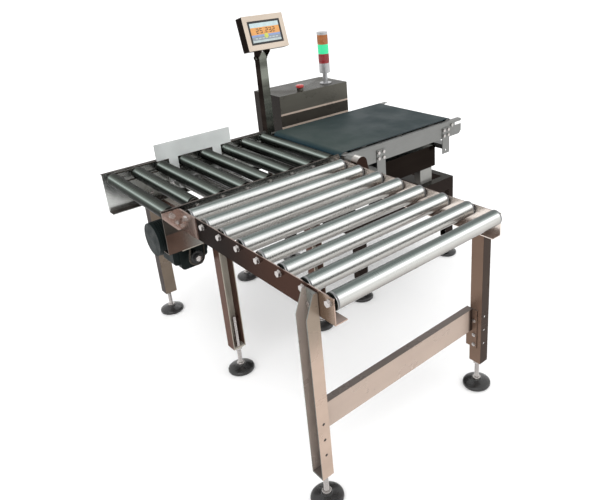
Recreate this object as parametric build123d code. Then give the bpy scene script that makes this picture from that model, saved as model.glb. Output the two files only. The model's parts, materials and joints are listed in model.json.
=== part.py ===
"""Checkweigher with a powered infeed of rollers, a side pusher, a gravity reject
conveyor and a weigh belt, drawn in millimetres with +Z up."""

import os
from math import acos, atan2, cos, hypot, radians, sin

from build123d import *

# Heights shared by the whole machine
table_height = 722.0
sheet = 3.0
base_height = 104.0
base_thickness = 6.0

# Clearances
running_gap = 0.05
loose_gap = 0.3
side_gap = 0.5

# Powered roller section: +X runs along the line, Y = 0 is its near rail's outer face
main_width = 536.0
main_pitch = 100.0
main_first_axle = 32.0
main_end_margin = 33.0
main_roller_count = 8
main_roller_diameter = 50.0
main_rail_height = 160.0
rail_below_rollers = 4.0
top_lip = 12.0
near_top_lip = 9.0
bottom_lip = 40.0
leg_face_width = 50.0
leg_depth = 45.0
leg_inset = 182.0
leg_below_rail_top = 68.0
tie_size = 30.0
tie_wall = 2.0
tie_bar_bottom = 180.0
tie_bar_height = 40.0

# Roller details
tube_wall = 2.0
end_disc = 12.0
axle_diameter = 17.0
hub_radius = 14.0
sprocket_radius = 18.0
sprocket_width = 5.0
sprocket_pitch = 13.0
sprocket_teeth = 14
tooth_gap_share = 0.11
chain_thickness = 5.0
chain_clearance = 2.0

# Side pusher
pusher_length = 344.0
pusher_height = 68.0
pusher_thickness = 4.0
pusher_lift = 4.0
pusher_stroke = 425.0
tooth_width = 40.0
guide_rod_radius = 8.0
guide_drop = 79.0
cylinder_radius = 18.0
carriage_depth = 47.0

# Gear motor under the rollers
drive_shaft_x = 106.0
drive_shaft_drop = 58.0
drive_sprocket_radius = 25.0
gear_centre_distance = 78.0
gearbox_width = 88.0
gearbox_depth = 102.0
motor_radius = 62.0
motor_length = 66.0
bearing_cover_radius = 40.0
bearing_cover_reach = 28.0
worm_case_reach = 22.0
bracket_thickness = 6.0
bracket_flange = 60.0

# Gravity reject conveyor, running toward -Y
gravity_width = 673.0
gravity_inset = 60.0
gravity_first_axle = 61.0
gravity_end_margin = 17.0
gravity_roller_count = 8
gravity_roller_diameter = 50.0
gravity_rail_height = 78.0
gravity_rail_length = 820.0
gravity_leg_inset = 88.0
leg_chamfer_start = 14.0
leg_chamfer_drop = 65.0
gravity_leg_width = 48.0
gravity_leg_depth = 40.0
crossbar_height = 86.0
crossbar_bottom = 236.0
corner_reach = 120.0
gusset_edge = 20.0
front_bolt_drop = 46.0
side_bolt_drop = 57.0
side_bolt_y = -20.0

# Weigh belt conveyor
belt_start_gap = 35.0
belt_below_rollers = 2.0
belt_width = 480.0
belt_inset = 5.0
belt_thickness = 2.0
belt_centres = 643.0
belt_roller_radius = 25.0
belt_shaft_radius = 8.0
belt_side_margin = 25.0
side_plate_height = 74.0
side_plate_drop = 8.0
guard_radius = 28.0
guard_depth = 38.0
belt_motor_radius = 45.0
belt_motor_length = 190.0
belt_motor_offset = 20.0

# Weigh box and the stand below it
weigh_box_length = 366.0
weigh_box_width = 448.0
weigh_box_height = 104.0
weigh_box_below_belt = 116.0
stand_length = 640.0
stand_front = -13.0
stand_depth = 586.0
stand_below_belt = 294.0
apron_height = 114.0

# Operator column, panel and cabinet
column_size = 40.0
column_above_belt = 350.0
panel_width = 212.0
panel_height = 150.0
panel_depth = 51.0
panel_lean = 14.7
cabinet_length = 428.0
cabinet_depth = 213.0
cabinet_height = 400.0
cabinet_above_belt = 123.0
tower_radius = 28.0
lens_height = 47.5

# Levelling feet
foot_radius = 50.0
foot_travel = 40.0
pad_height = 12.0
dome_height = 8.0
dome_radius = 24.0
neck_height = 8.0
neck_radius = 14.0
stud_radius = 8.0
long_stud_top = 240.0
lock_nut_flats = 24.0
lock_nut_height = 10.0

# Fasteners
bolt_radius = 4.0
bolt_hole_radius = 4.3
bolt_head_flats = 13.0
bolt_head_height = 5.3
axle_bolt_radius = 5.0
axle_hole_radius = 5.3
axle_bolt_reach = 20.0
axle_tap_depth = 22.0
axle_head_flats = 17.0
axle_head_height = 8.0
axle_washer_radius = 10.0
axle_washer_thickness = 2.5

# Derived positions
main_length = main_first_axle + main_pitch * (main_roller_count - 1) + main_end_margin
main_axles = [main_first_axle + main_pitch * i for i in range(main_roller_count)]
main_axle_z = table_height - main_roller_diameter / 2
rail_top = table_height - rail_below_rollers
rail_bottom = rail_top - main_rail_height
main_leg_centres = [leg_inset, main_length - leg_inset]
leg_top = rail_top - leg_below_rail_top
gravity_pitch = (gravity_rail_length - gravity_first_axle - gravity_end_margin) / (
    gravity_roller_count - 1
)
gravity_leg_offset = gravity_rail_length - gravity_leg_inset
gravity_axles = [-gravity_first_axle - gravity_pitch * i for i in range(gravity_roller_count)]
gravity_axle_z = table_height - gravity_roller_diameter / 2
gravity_left = gravity_inset
gravity_right = gravity_inset + gravity_width
gravity_rail_top = rail_top - sheet - 1.0
gravity_rail_bottom = gravity_rail_top - gravity_rail_height
front_bolt_x = gravity_left - 14.0
front_bolt_z = gravity_rail_top - front_bolt_drop
side_bolt_z = gravity_rail_top - side_bolt_drop
axle_radius = axle_diameter / 2
belt_top = table_height - belt_below_rollers
weigh_box_top = belt_top - weigh_box_below_belt
stand_top = belt_top - stand_below_belt
column_top = belt_top + column_above_belt
cabinet_top = belt_top + cabinet_above_belt
base_top = base_height + base_thickness
short_stud_top = base_top + foot_travel + 4.0
near_chain_y = 22.0
far_chain_y = main_width - 31.0
leg_bolt_heights = [rail_bottom + 32.0, rail_bottom + 70.0]
main_foot_reach = leg_depth - 13.0
tie_x = leg_inset + 44.0
drive_shaft_z = rail_bottom - drive_shaft_drop
drive_shaft_radius = 12.0
gearbox_front = 68.0
gravity_foot_reach = 14.0
guide_z = main_axle_z - guide_drop
carriage_back = main_width - 44.0
carriage_front = carriage_back - carriage_depth
carriage_top = guide_z + 30.0
tooth_centres = [
    (main_axles[2] + main_axles[3]) / 2,
    (main_axles[4] + main_axles[5]) / 2,
]
pusher_centre = sum(tooth_centres) / 2
belt_first_x = main_length + belt_start_gap
belt_last_x = belt_first_x + belt_centres
belt_axis_z = belt_top - belt_thickness - loose_gap - belt_roller_radius
belt_back = belt_inset + belt_width
plate_front = belt_inset - belt_side_margin
plate_back = belt_back + belt_side_margin - 2.0
plate_top = belt_top - side_plate_drop
plate_bottom = plate_top - side_plate_height
plate_end = belt_last_x + 69.0
belt_motor_x = belt_first_x + belt_motor_offset
belt_motor_z = plate_bottom - belt_motor_radius - 1.0
guard_back = plate_front - 40.0
guard_front = guard_back - guard_depth
belt_chain_y = guard_front + 14.0
bracket_width = 49.0
left_bracket_x = belt_first_x + 152.0
right_bracket_x = left_bracket_x + bracket_width + weigh_box_length + 8.0
spider_bottom = weigh_box_top + 8.0
stand_left = main_length + 61.0
stand_right = stand_left + stand_length
stand_back = stand_front + stand_depth
box_left = left_bracket_x + bracket_width + 3.0
box_right = box_left + weigh_box_length
box_front = 20.0
box_back = box_front + weigh_box_width
box_bottom = weigh_box_top - weigh_box_height
column_x = stand_left - 8.0
column_y = stand_back + column_size / 2
hinge_z = column_top - 25.0
cabinet_left = stand_left + 76.0
cabinet_right = cabinet_left + cabinet_length
cabinet_front = stand_back + 27.0
cabinet_back = cabinet_front + cabinet_depth
cabinet_bottom = cabinet_top - cabinet_height
door_hinge_x = cabinet_right + 6.0
door_hinge_y = cabinet_back + 9.0
tower_x = cabinet_right - 92.0
tower_y = cabinet_front + 62.0
estop_x = cabinet_left + 155.0
estop_y = cabinet_front + 41.0
lens_start = cabinet_top + 106.0
cell_top = box_bottom + 70.0
screen_size = (168.0, 102.0)
screen_depth = 8.0
gravity_leg_bolts = [-gravity_leg_offset - 12.0, -gravity_leg_offset + 12.0]
gravity_bolt_z = gravity_rail_bottom + 24.0
crossbar_bolt_y = -gravity_leg_offset + 2.0
crossbar_bolt_heights = [
    crossbar_bottom + crossbar_height / 2,
    crossbar_bottom - 15.0,
    crossbar_bottom - 55.0,
]
front_hole_heights = [crossbar_bottom + 60.0, crossbar_bottom + 5.0, crossbar_bottom - 50.0]
slot_centres = [belt_first_x + 130.0 * i + 60.0 for i in range(5)]
cross_bar_centres = [
    belt_first_x + 110.0,
    (belt_first_x + belt_last_x) / 2,
    belt_last_x - 110.0,
]
bracket_bolt_columns = [
    left_bracket_x + 10.0,
    left_bracket_x + bracket_width - 10.0,
    right_bracket_x + 10.0,
    right_bracket_x + bracket_width - 10.0,
]
plate_bolt_heights = [plate_bottom + 14.0, plate_bottom + 40.0]
beam_spans = [(box_left + 26.0, box_left + 106.0), (box_left + 261.0, box_left + 341.0)]
knuckle_heights = [cabinet_bottom + 90.0, cabinet_top - 70.0]
device_blocks = [
    (20.0, 60.0, 170.0, 290.0, 90.0),
    (92.0, 60.0, 170.0, 290.0, 90.0),
    (166.0, 44.0, 180.0, 290.0, 70.0),
    (222.0, 120.0, 180.0, 290.0, 80.0),
    (20.0, 330.0, 100.0, 130.0, 45.0),
    (20.0, 200.0, 20.0, 70.0, 40.0),
]


def box(x0, x1, y0, y1, z0, z1):
    """Block between two values on each axis."""
    middle = Pos((x0 + x1) / 2, (y0 + y1) / 2, (z0 + z1) / 2)
    return middle * Box(x1 - x0, y1 - y0, z1 - z0)


def rod_x(radius, x0, x1, y, z):
    """Cylinder along X."""
    return Pos((x0 + x1) / 2, y, z) * Rot(0, 90, 0) * Cylinder(radius, x1 - x0)


def rod_y(radius, y0, y1, x, z):
    """Cylinder along Y."""
    return Pos(x, (y0 + y1) / 2, z) * Rot(90, 0, 0) * Cylinder(radius, y1 - y0)


def rod_z(radius, z0, z1, x, y):
    """Cylinder along Z."""
    return Pos(x, y, (z0 + z1) / 2) * Cylinder(radius, z1 - z0)


def plate_xz(outline, y0, y1):
    """Outline drawn in X and Z, given thickness from y0 to y1."""
    return Pos(0, y1, 0) * (Plane.XZ.location * extrude(outline, y1 - y0))


def plate_yz(outline, x0, x1):
    """Outline drawn in Y and Z, given thickness from x0 to x1."""
    return Pos(x0, 0, 0) * (Plane.YZ.location * extrude(outline, x1 - x0))


def closed_outline(points):
    """Flat face inside a closed run of straight lines."""
    return make_face(Polyline(*points, close=True))


def loop_outline(first, first_radius, second, second_radius):
    """Face inside a tight loop laid round two circles."""
    span = hypot(second[0] - first[0], second[1] - first[1])
    heading = atan2(second[1] - first[1], second[0] - first[0])
    spread = acos((first_radius - second_radius) / span)
    points = []
    for centre, radius, angle in (
        (first, first_radius, heading + spread),
        (second, second_radius, heading + spread),
        (second, second_radius, heading - spread),
        (first, first_radius, heading - spread),
    ):
        points.append((centre[0] + radius * cos(angle), centre[1] + radius * sin(angle)))
    ends = Pos(*first) * Circle(first_radius) + Pos(*second) * Circle(second_radius)
    return closed_outline(points) + ends


def chain_loop(first, first_radius, second, second_radius, y0):
    """Endless chain of one sprocket's width round two sprockets, seen along Y."""
    inside = loop_outline(first, first_radius + loose_gap, second, second_radius + loose_gap)
    reach = loose_gap + chain_thickness
    outside = loop_outline(first, first_radius + reach, second, second_radius + reach)
    return plate_xz(outside - inside, y0, y0 + sprocket_width)


def sprocket_outline(radius):
    """Disc with a round gap cut between each pair of teeth."""
    gap = Circle(radius * tooth_gap_share)
    return Circle(radius) - PolarLocations(radius, sprocket_teeth) * gap


def toothed_disc(radius, x, z, y0):
    """Sprocket disc with cut teeth, axis along Y."""
    return plate_xz(Pos(x, z) * sprocket_outline(radius), y0, y0 + sprocket_width)


def hexagon(flats):
    """Hexagon outline of the given width across its flats."""
    return RegularPolygon(flats / 2 / cos(radians(30)), 6)


def bolt(start, direction, shank, nut_at=None):
    """Hex bolt whose head stands on start, its shank running along direction.

    A nut is added when nut_at gives its distance from the head's seat."""
    head = Pos(0, 0, -bolt_head_height) * extrude(hexagon(bolt_head_flats), bolt_head_height)
    body = head + Pos(0, 0, shank / 2) * Cylinder(bolt_radius, shank)
    if nut_at is not None:
        nut = extrude(hexagon(bolt_head_flats), bolt_head_height)
        body += Pos(0, 0, nut_at) * nut
    return Plane(origin=start, z_dir=direction).location * body


def axle_bolt(start, direction, grip):
    """Larger hex bolt on a washer, its shank reaching grip deep along direction."""
    below = axle_washer_thickness
    washer = Pos(0, 0, -below / 2) * Cylinder(axle_washer_radius, below)
    head = Pos(0, 0, -below - axle_head_height) * extrude(
        hexagon(axle_head_flats), axle_head_height
    )
    shank = Pos(0, 0, grip / 2) * Cylinder(axle_bolt_radius, grip)
    return Plane(origin=start, z_dir=direction).location * (washer + head + shank)


def assembly(pieces):
    """Separate solids kept side by side in one node."""
    return Compound(children=list(pieces))


def main_rails():
    """Two folded rails with their holes for the axle and leg bolts."""
    near = box(0, main_length, 0, sheet, rail_bottom, rail_top)
    near += box(0, main_length, 0, near_top_lip, rail_top - sheet, rail_top)
    near += box(0, main_length, 0, bottom_lip, rail_bottom, rail_bottom + sheet)
    chain_reach = drive_sprocket_radius + chain_thickness + chain_clearance
    near -= box(
        drive_shaft_x - chain_reach,
        main_axles[1] + chain_reach,
        near_chain_y - 2 * side_gap,
        near_chain_y + sprocket_width + 2 * side_gap,
        rail_bottom,
        rail_bottom + sheet,
    )
    near -= rod_y(bolt_hole_radius, -sheet, 2 * sheet, front_bolt_x, front_bolt_z)
    back = main_width
    far = box(0, main_length, back - sheet, back, rail_bottom, rail_top)
    far += box(0, main_length, back - sheet, back + top_lip, rail_top - sheet, rail_top)
    far += box(0, main_length, back - bottom_lip, back, rail_bottom, rail_bottom + sheet)
    drills = []
    for x in main_axles:
        drills.append(rod_y(axle_hole_radius, -sheet, back + sheet, x, main_axle_z))
    for x in main_leg_centres:
        for z in leg_bolt_heights:
            drills.append(rod_y(bolt_hole_radius, -sheet, back + sheet, x, z))
    return assembly([near - drills, far - drills])


def roller(radius, start, end, hub_end=None, hub_start=None, sprockets=()):
    """Roller along +Z with a bored tube, and optional hubs with sprocket discs beyond it."""
    tube = Pos(0, 0, (start + end) / 2) * Cylinder(radius, end - start)
    bore = radius - tube_wall
    hollow = end - start - 2 * end_disc
    tube -= Pos(0, 0, (start + end) / 2) * Cylinder(bore, hollow)
    if hub_end is not None:
        tube += Pos(0, 0, (end + hub_end) / 2) * Cylinder(hub_radius, hub_end - end)
    if hub_start is not None:
        tube += Pos(0, 0, (start + hub_start) / 2) * Cylinder(hub_radius, start - hub_start)
    for place in sprockets:
        tube += Pos(0, 0, place) * extrude(sprocket_outline(sprocket_radius), sprocket_width)
    first = start if hub_start is None else hub_start
    last = end if hub_end is None else hub_end
    return tube - Pos(0, 0, (first + last) / 2) * Cylinder(
        axle_radius + running_gap, last - first + 2
    )


def main_roller(index):
    """Powered roller with two sprockets at its far end; the second also takes the drive."""
    far_end = main_width - 36.0
    near_end = 12.0
    sprockets = [far_chain_y, far_chain_y + sprocket_pitch]
    hub_start = None
    if index == 1:
        hub_start = near_end
        near_end = near_chain_y + sprocket_width + 7.0
        sprockets.append(near_chain_y)
    turned = roller(
        main_roller_diameter / 2, near_end, far_end, main_width - 12.0, hub_start, sprockets
    )
    place = Plane(
        origin=(main_axles[index], 0, main_axle_z), x_dir=(1, 0, 0), z_dir=(0, 1, 0)
    )
    return place.location * turned


def gravity_roller(index):
    """Free roller of the reject conveyor, along X."""
    turned = roller(
        gravity_roller_diameter / 2, gravity_left + sheet + 4, gravity_right - sheet - 4
    )
    place = Plane(
        origin=(0, gravity_axles[index], gravity_axle_z), x_dir=(0, 1, 0), z_dir=(1, 0, 0)
    )
    return place.location * turned


def roller_axles():
    """Fixed axles of both roller sections, tapped at each end."""
    tap = axle_tap_depth
    axles = []
    start, end = sheet, main_width - sheet
    for x in main_axles:
        axle = rod_y(axle_radius, start, end, x, main_axle_z)
        axle -= rod_y(axle_hole_radius, start, start + tap, x, main_axle_z)
        axle -= rod_y(axle_hole_radius, end - tap, end, x, main_axle_z)
        axles.append(axle)
    start, end = gravity_left + sheet, gravity_right - sheet
    for y in gravity_axles:
        axle = rod_x(axle_radius, start, end, y, gravity_axle_z)
        axle -= rod_x(axle_hole_radius, start, start + tap, y, gravity_axle_z)
        axle -= rod_x(axle_hole_radius, end - tap, end, y, gravity_axle_z)
        axles.append(axle)
    return assembly(axles)


def drive_chains():
    """Chains between neighbouring rollers, from the gear motor and inside the belt guard."""
    loops = []
    for i in range(main_roller_count - 1):
        row = far_chain_y + (i % 2) * sprocket_pitch
        first = (main_axles[i], main_axle_z)
        second = (main_axles[i + 1], main_axle_z)
        loops.append(chain_loop(first, sprocket_radius, second, sprocket_radius, row))
    loops.append(
        chain_loop(
            (drive_shaft_x, drive_shaft_z),
            drive_sprocket_radius,
            (main_axles[1], main_axle_z),
            sprocket_radius,
            near_chain_y,
        )
    )
    loops.append(
        chain_loop(
            (belt_first_x, belt_axis_z),
            sprocket_radius,
            (belt_motor_x, belt_motor_z),
            sprocket_radius,
            belt_chain_y,
        )
    )
    return assembly(loops)


def drive_sprocket():
    """Sprocket, hub and output shaft of the gear motor."""
    x, z = drive_shaft_x, drive_shaft_z
    disc = toothed_disc(drive_sprocket_radius, x, z, near_chain_y)
    hub = rod_y(hub_radius, near_chain_y - 8, near_chain_y + sprocket_width + 8, x, z)
    shaft = rod_y(drive_shaft_radius, near_chain_y, gearbox_front + gearbox_depth / 2, x, z)
    return disc + hub + shaft


def gear_motor():
    """Worm gearbox with its bored output and a ribbed motor lying along X."""
    x0 = drive_shaft_x - gearbox_width / 2
    x1 = drive_shaft_x + gearbox_width / 2
    y0, y1 = gearbox_front, gearbox_front + gearbox_depth
    axis_y = (y0 + y1) / 2
    motor_z = drive_shaft_z + gear_centre_distance
    case = box(x0, x1, y0, y1, drive_shaft_z - 55, motor_z + 45)
    case = fillet(case.edges().filter_by(Axis.Y), 16)
    case += rod_y(38, y0, y1 + 3, drive_shaft_x, drive_shaft_z)
    case += rod_x(
        bearing_cover_radius, x1, x1 + bearing_cover_reach, axis_y, drive_shaft_z + 8
    )
    worm_case = box(
        x0 - worm_case_reach,
        x1 + worm_case_reach,
        y0 + 8,
        y1 - 8,
        drive_shaft_z - 32,
        drive_shaft_z + 30,
    )
    case += fillet(worm_case.edges().filter_by(Axis.Y), 12)
    case += rod_x(motor_radius - 8, x0 - 8, x0, axis_y, motor_z)
    body = rod_x(motor_radius - 5, x0 - motor_length, x0 - 8, axis_y, motor_z)
    rib_count = 5
    for i in range(rib_count):
        rib_x = x0 - 14 - i * (motor_length - 24) / rib_count
        body += rod_x(motor_radius, rib_x - 4, rib_x, axis_y, motor_z)
    cowl = rod_x(motor_radius - 1, x0 - motor_length, x0 - motor_length + 12, axis_y, motor_z)
    body += cowl
    bore = rod_y(
        drive_shaft_radius + running_gap,
        y0 - 1,
        axis_y + 2,
        drive_shaft_x,
        drive_shaft_z,
    )
    return case + body - bore


def foot(x, y, stud_top):
    """Levelling foot: round pad, neck, threaded stud up to stud_top and its lock nut."""
    dome_top = pad_height + dome_height
    neck_top = dome_top + neck_height
    pad = rod_z(foot_radius, 0, pad_height, x, y)
    pad += Pos(x, y, pad_height + dome_height / 2) * Cone(
        foot_radius - 4, dome_radius, dome_height
    )
    pad += rod_z(neck_radius, dome_top, neck_top, x, y)
    stud = rod_z(stud_radius, neck_top, stud_top, x, y)
    nut = Pos(x, y, base_height - lock_nut_height) * extrude(
        hexagon(lock_nut_flats), lock_nut_height
    )
    return pad + stud + nut


def channel_leg(x, y, width, depth, axis, side, top):
    """Leg folded as a channel from its base plate up to top.

    Its web stands at x, y and its flanges point along side of the axis given."""
    lower = base_height
    if axis == "Y":
        tip = y + side * depth
        low, high = min(y, tip), max(y, tip)
        web = box(x - width / 2, x + width / 2, *sorted((y, y + side * sheet)), lower, top)
        left = box(x - width / 2, x - width / 2 + sheet, low, high, lower, top)
        right = box(x + width / 2 - sheet, x + width / 2, low, high, lower, top)
        base = box(x - width / 2, x + width / 2, low, high, lower, base_top)
    else:
        tip = x + side * depth
        low, high = min(x, tip), max(x, tip)
        web = box(*sorted((x, x + side * sheet)), y - width / 2, y + width / 2, lower, top)
        left = box(low, high, y - width / 2, y - width / 2 + sheet, lower, top)
        right = box(low, high, y + width / 2 - sheet, y + width / 2, lower, top)
        base = box(low, high, y - width / 2, y + width / 2, lower, base_top)
    return web + left + right + base


def stud_hole(x, y):
    """Hole through a base plate for a foot's stud."""
    return rod_z(stud_radius + running_gap, base_height - 1, base_top + 1, x, y)


def main_stand():
    """Four legs, two cross ties, the gear motor's bracket and the tie bars to the weigh stand."""
    solids = []
    for x in main_leg_centres:
        for y, side in ((0, -1), (main_width, 1)):
            leg = channel_leg(x, y, leg_face_width, leg_depth, "Y", side, leg_top)
            leg -= stud_hole(x, y + side * main_foot_reach)
            for z in leg_bolt_heights:
                leg -= rod_y(bolt_hole_radius, y - sheet - 1, y + sheet + 1, x, z)
            solids.append(leg)
    y0, y1 = sheet, main_width - sheet
    half, low = tie_size / 2, rail_bottom - tie_size
    for x in (tie_x, main_length - tie_x):
        tie = box(x - half, x + half, y0, y1, low, rail_bottom)
        tie -= box(
            x - half + tie_wall, x + half - tie_wall, y0, y1, low, rail_bottom - tie_wall
        )
        solids.append(tie)
    solids.append(motor_bracket())
    for bar in tie_bars():
        solids.append(bar)
    return assembly(solids)


def motor_bracket():
    """Angled plate that hangs the gearbox from the near rail's bottom lip."""
    wide = gearbox_width / 2 + 12
    narrow = gearbox_width / 2 - 4
    top, low = rail_bottom, rail_bottom - bracket_thickness
    front = gearbox_front - bracket_thickness
    plate = box(drive_shaft_x - wide, drive_shaft_x + wide, sheet + 2, front, low, top)
    plate += box(
        drive_shaft_x - narrow,
        drive_shaft_x + narrow,
        front,
        gearbox_front,
        low,
        top + bracket_flange,
    )
    chain_half = drive_sprocket_radius + chain_thickness + chain_clearance
    plate -= box(
        drive_shaft_x - chain_half,
        drive_shaft_x + chain_half + 12,
        near_chain_y - 2 * side_gap,
        near_chain_y + sprocket_width + 2 * side_gap,
        low - 1,
        top + 1,
    )
    return plate


def tie_bars():
    """Bars that join the roller section's right legs to the weigh stand's left legs."""
    x0 = main_leg_centres[1] + leg_face_width / 2
    x1 = stand_left
    low, high = tie_bar_bottom, tie_bar_bottom + tie_bar_height
    near = box(x0, x1, stand_front - 17, stand_front + 12, low, high)
    far = box(x0, x1, stand_back - 33, stand_back - 5, low, high)
    return near, far


def pusher_plate():
    """Upright pusher with two teeth that reach down between the rollers."""
    z0 = table_height + pusher_lift
    x0 = pusher_centre - pusher_length / 2
    x1 = pusher_centre + pusher_length / 2
    y0, y1 = carriage_back, carriage_back + pusher_thickness
    plate = box(x0, x1, y0, y1, z0, z0 + pusher_height)
    solids = []
    for x in tooth_centres:
        half = tooth_width / 2
        plate += box(x - half, x + half, y0, y1, carriage_top - 16, z0)
        for offset in (-10, 10):
            screw = (x + offset, y1, carriage_top - 8)
            plate -= rod_y(3.3, y0 - 1, y1 + 1, screw[0], screw[2])
            head = rod_y(5, y1, y1 + 3, screw[0], screw[2])
            solids.append(head + rod_y(3, y1 - 12, y1, screw[0], screw[2]))
    return assembly([plate, *solids])


def pusher_carriage():
    """Plate under the rollers with two bushes and a ring on the rodless cylinder."""
    x0, x1 = pusher_centre - 132, pusher_centre + 132
    y0, y1 = carriage_front, carriage_back
    body = box(x0, x1, y0, y1, carriage_top - 8, carriage_top)
    body += box(x0, x1, y1 - 14, y1, carriage_top - 22, carriage_top)
    for x in tooth_centres:
        body += box(x - 12, x + 12, y0, y1, guide_z, carriage_top)
        body += rod_y(guide_rod_radius + 7, y0, y1, x, guide_z)
    ring = cylinder_radius + 8
    body += rod_y(ring, y0, y1, pusher_centre, guide_z)
    for x in tooth_centres:
        body -= rod_y(guide_rod_radius + running_gap, y0 - 1, y1 + 1, x, guide_z)
        for offset in (-10, 10):
            body -= rod_y(3.3, y1 - 10, y1 + 1, x + offset, carriage_top - 8)
    return body - rod_y(cylinder_radius + loose_gap, y0 - 1, y1 + 1, pusher_centre, guide_z)


def pusher_slide():
    """Guide rods and rodless cylinder between two end blocks."""
    half = (tooth_centres[1] - tooth_centres[0]) / 2 + 22
    solids = None
    for y0, y1 in ((sheet, sheet + 15), (main_width - sheet - 15, main_width - sheet)):
        block = box(
            pusher_centre - half, pusher_centre + half, y0, y1, guide_z - 20, guide_z + 20
        )
        solids = block if solids is None else solids + block
    y0, y1 = sheet + 15, main_width - sheet - 15
    for x in tooth_centres:
        solids += rod_y(guide_rod_radius, y0, y1, x, guide_z)
    return solids + rod_y(cylinder_radius, y0, y1, pusher_centre, guide_z)


def gravity_rails():
    """Two folded side rails and the corner angles that join them to the roller section."""
    z0, z1 = gravity_rail_bottom, gravity_rail_top
    end = -gravity_rail_length
    left, right = gravity_left, gravity_right
    first = box(left, left + sheet, end, 0, z0, z1)
    first += box(left, left + bottom_lip, end, 0, z0, z0 + sheet)
    second = box(right - sheet, right, end, 0, z0, z1)
    second += box(right - bottom_lip, right, end, 0, z0, z0 + sheet)
    gusset = closed_outline(
        [(0, z1), (left, z1), (left, z0 + 1), (left - 14, z0 + 1), (0, z1 - gusset_edge)]
    )
    angle = plate_xz(gusset, -sheet, 0)
    angle += box(left - sheet, left, -corner_reach, 0, z0 + 1, z1)
    other = box(right, main_length, -sheet, 0, z0 + 1, z1)
    other += box(right, right + sheet, -corner_reach, 0, z0 + 1, z1)
    drills = []
    for y in gravity_axles:
        drills.append(
            rod_x(axle_hole_radius, left - 2 * sheet, right + 2 * sheet, y, gravity_axle_z)
        )
    for y in gravity_leg_bolts:
        drills.append(
            rod_x(bolt_hole_radius, left - 2 * sheet, right + 2 * sheet, y, gravity_bolt_z)
        )
    drills.append(
        rod_x(bolt_hole_radius, left - 2 * sheet, right + 2 * sheet, side_bolt_y, side_bolt_z)
    )
    drills.append(rod_y(bolt_hole_radius, -2 * sheet, sheet, front_bolt_x, front_bolt_z))
    for x in (main_axles[0], main_axles[-1]):
        drills.append(rod_y(axle_hole_radius, -2 * sheet, sheet, x, main_axle_z))
    head_depth = axle_washer_thickness + axle_head_height + sheet / 2
    head_room = axle_washer_radius + sheet / 2
    drills.append(rod_y(head_room, -head_depth, 0, main_axles[-1], main_axle_z))
    return assembly([piece - drills for piece in (first, second, angle, other)])


def gravity_stand():
    """Two channel legs with chamfered flange tops, joined by a crossbar."""
    top = gravity_rail_top - 9
    y = -gravity_leg_offset
    half = gravity_leg_width / 2
    solids = []
    for x, side in ((gravity_left, -1), (gravity_right, 1)):
        leg = channel_leg(x, y, gravity_leg_width, gravity_leg_depth, "X", side, top)
        tip = x + side * gravity_leg_depth
        corner = closed_outline(
            [(x + side * leg_chamfer_start, top), (tip, top), (tip, top - leg_chamfer_drop)]
        )
        leg -= plate_xz(corner, y - half - 1, y + half + 1)
        leg -= stud_hole(x + side * gravity_foot_reach, y)
        for bolt_y in gravity_leg_bolts:
            leg -= rod_x(bolt_hole_radius, x - 5, x + 5, bolt_y, gravity_bolt_z)
        for z in crossbar_bolt_heights:
            leg -= rod_x(bolt_hole_radius, x - 5, x + 5, crossbar_bolt_y, z)
        for z in front_hole_heights:
            hole_x = x + side * 19
            leg -= rod_y(4.5, y - half - 1, y - half + sheet + 1, hole_x, z)
        solids.append(leg)
    z0, z1 = crossbar_bottom, crossbar_bottom + crossbar_height
    front = y + 12
    bar = box(gravity_left, gravity_right, front, front + sheet, z0, z1)
    for low in (z0, z1 - sheet):
        bar += box(gravity_left, gravity_right, front, front + 26, low, low + sheet)
    for x0 in (gravity_left, gravity_right - sheet):
        bar += box(x0, x0 + sheet, front - 20, front + 26, z0 - 70, z1)
    for z in crossbar_bolt_heights:
        bar -= rod_x(
            bolt_hole_radius, gravity_left - 1, gravity_right + 1, crossbar_bolt_y, z
        )
    solids.append(bar)
    return assembly(solids)


def weigh_belt():
    """Endless belt round the drive and tail rollers."""
    inner = belt_roller_radius + loose_gap
    outer = inner + belt_thickness
    first, last = (belt_first_x, belt_axis_z), (belt_last_x, belt_axis_z)
    ring = loop_outline(first, outer, last, outer) - loop_outline(first, inner, last, inner)
    return plate_xz(ring, belt_inset, belt_back)


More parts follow.
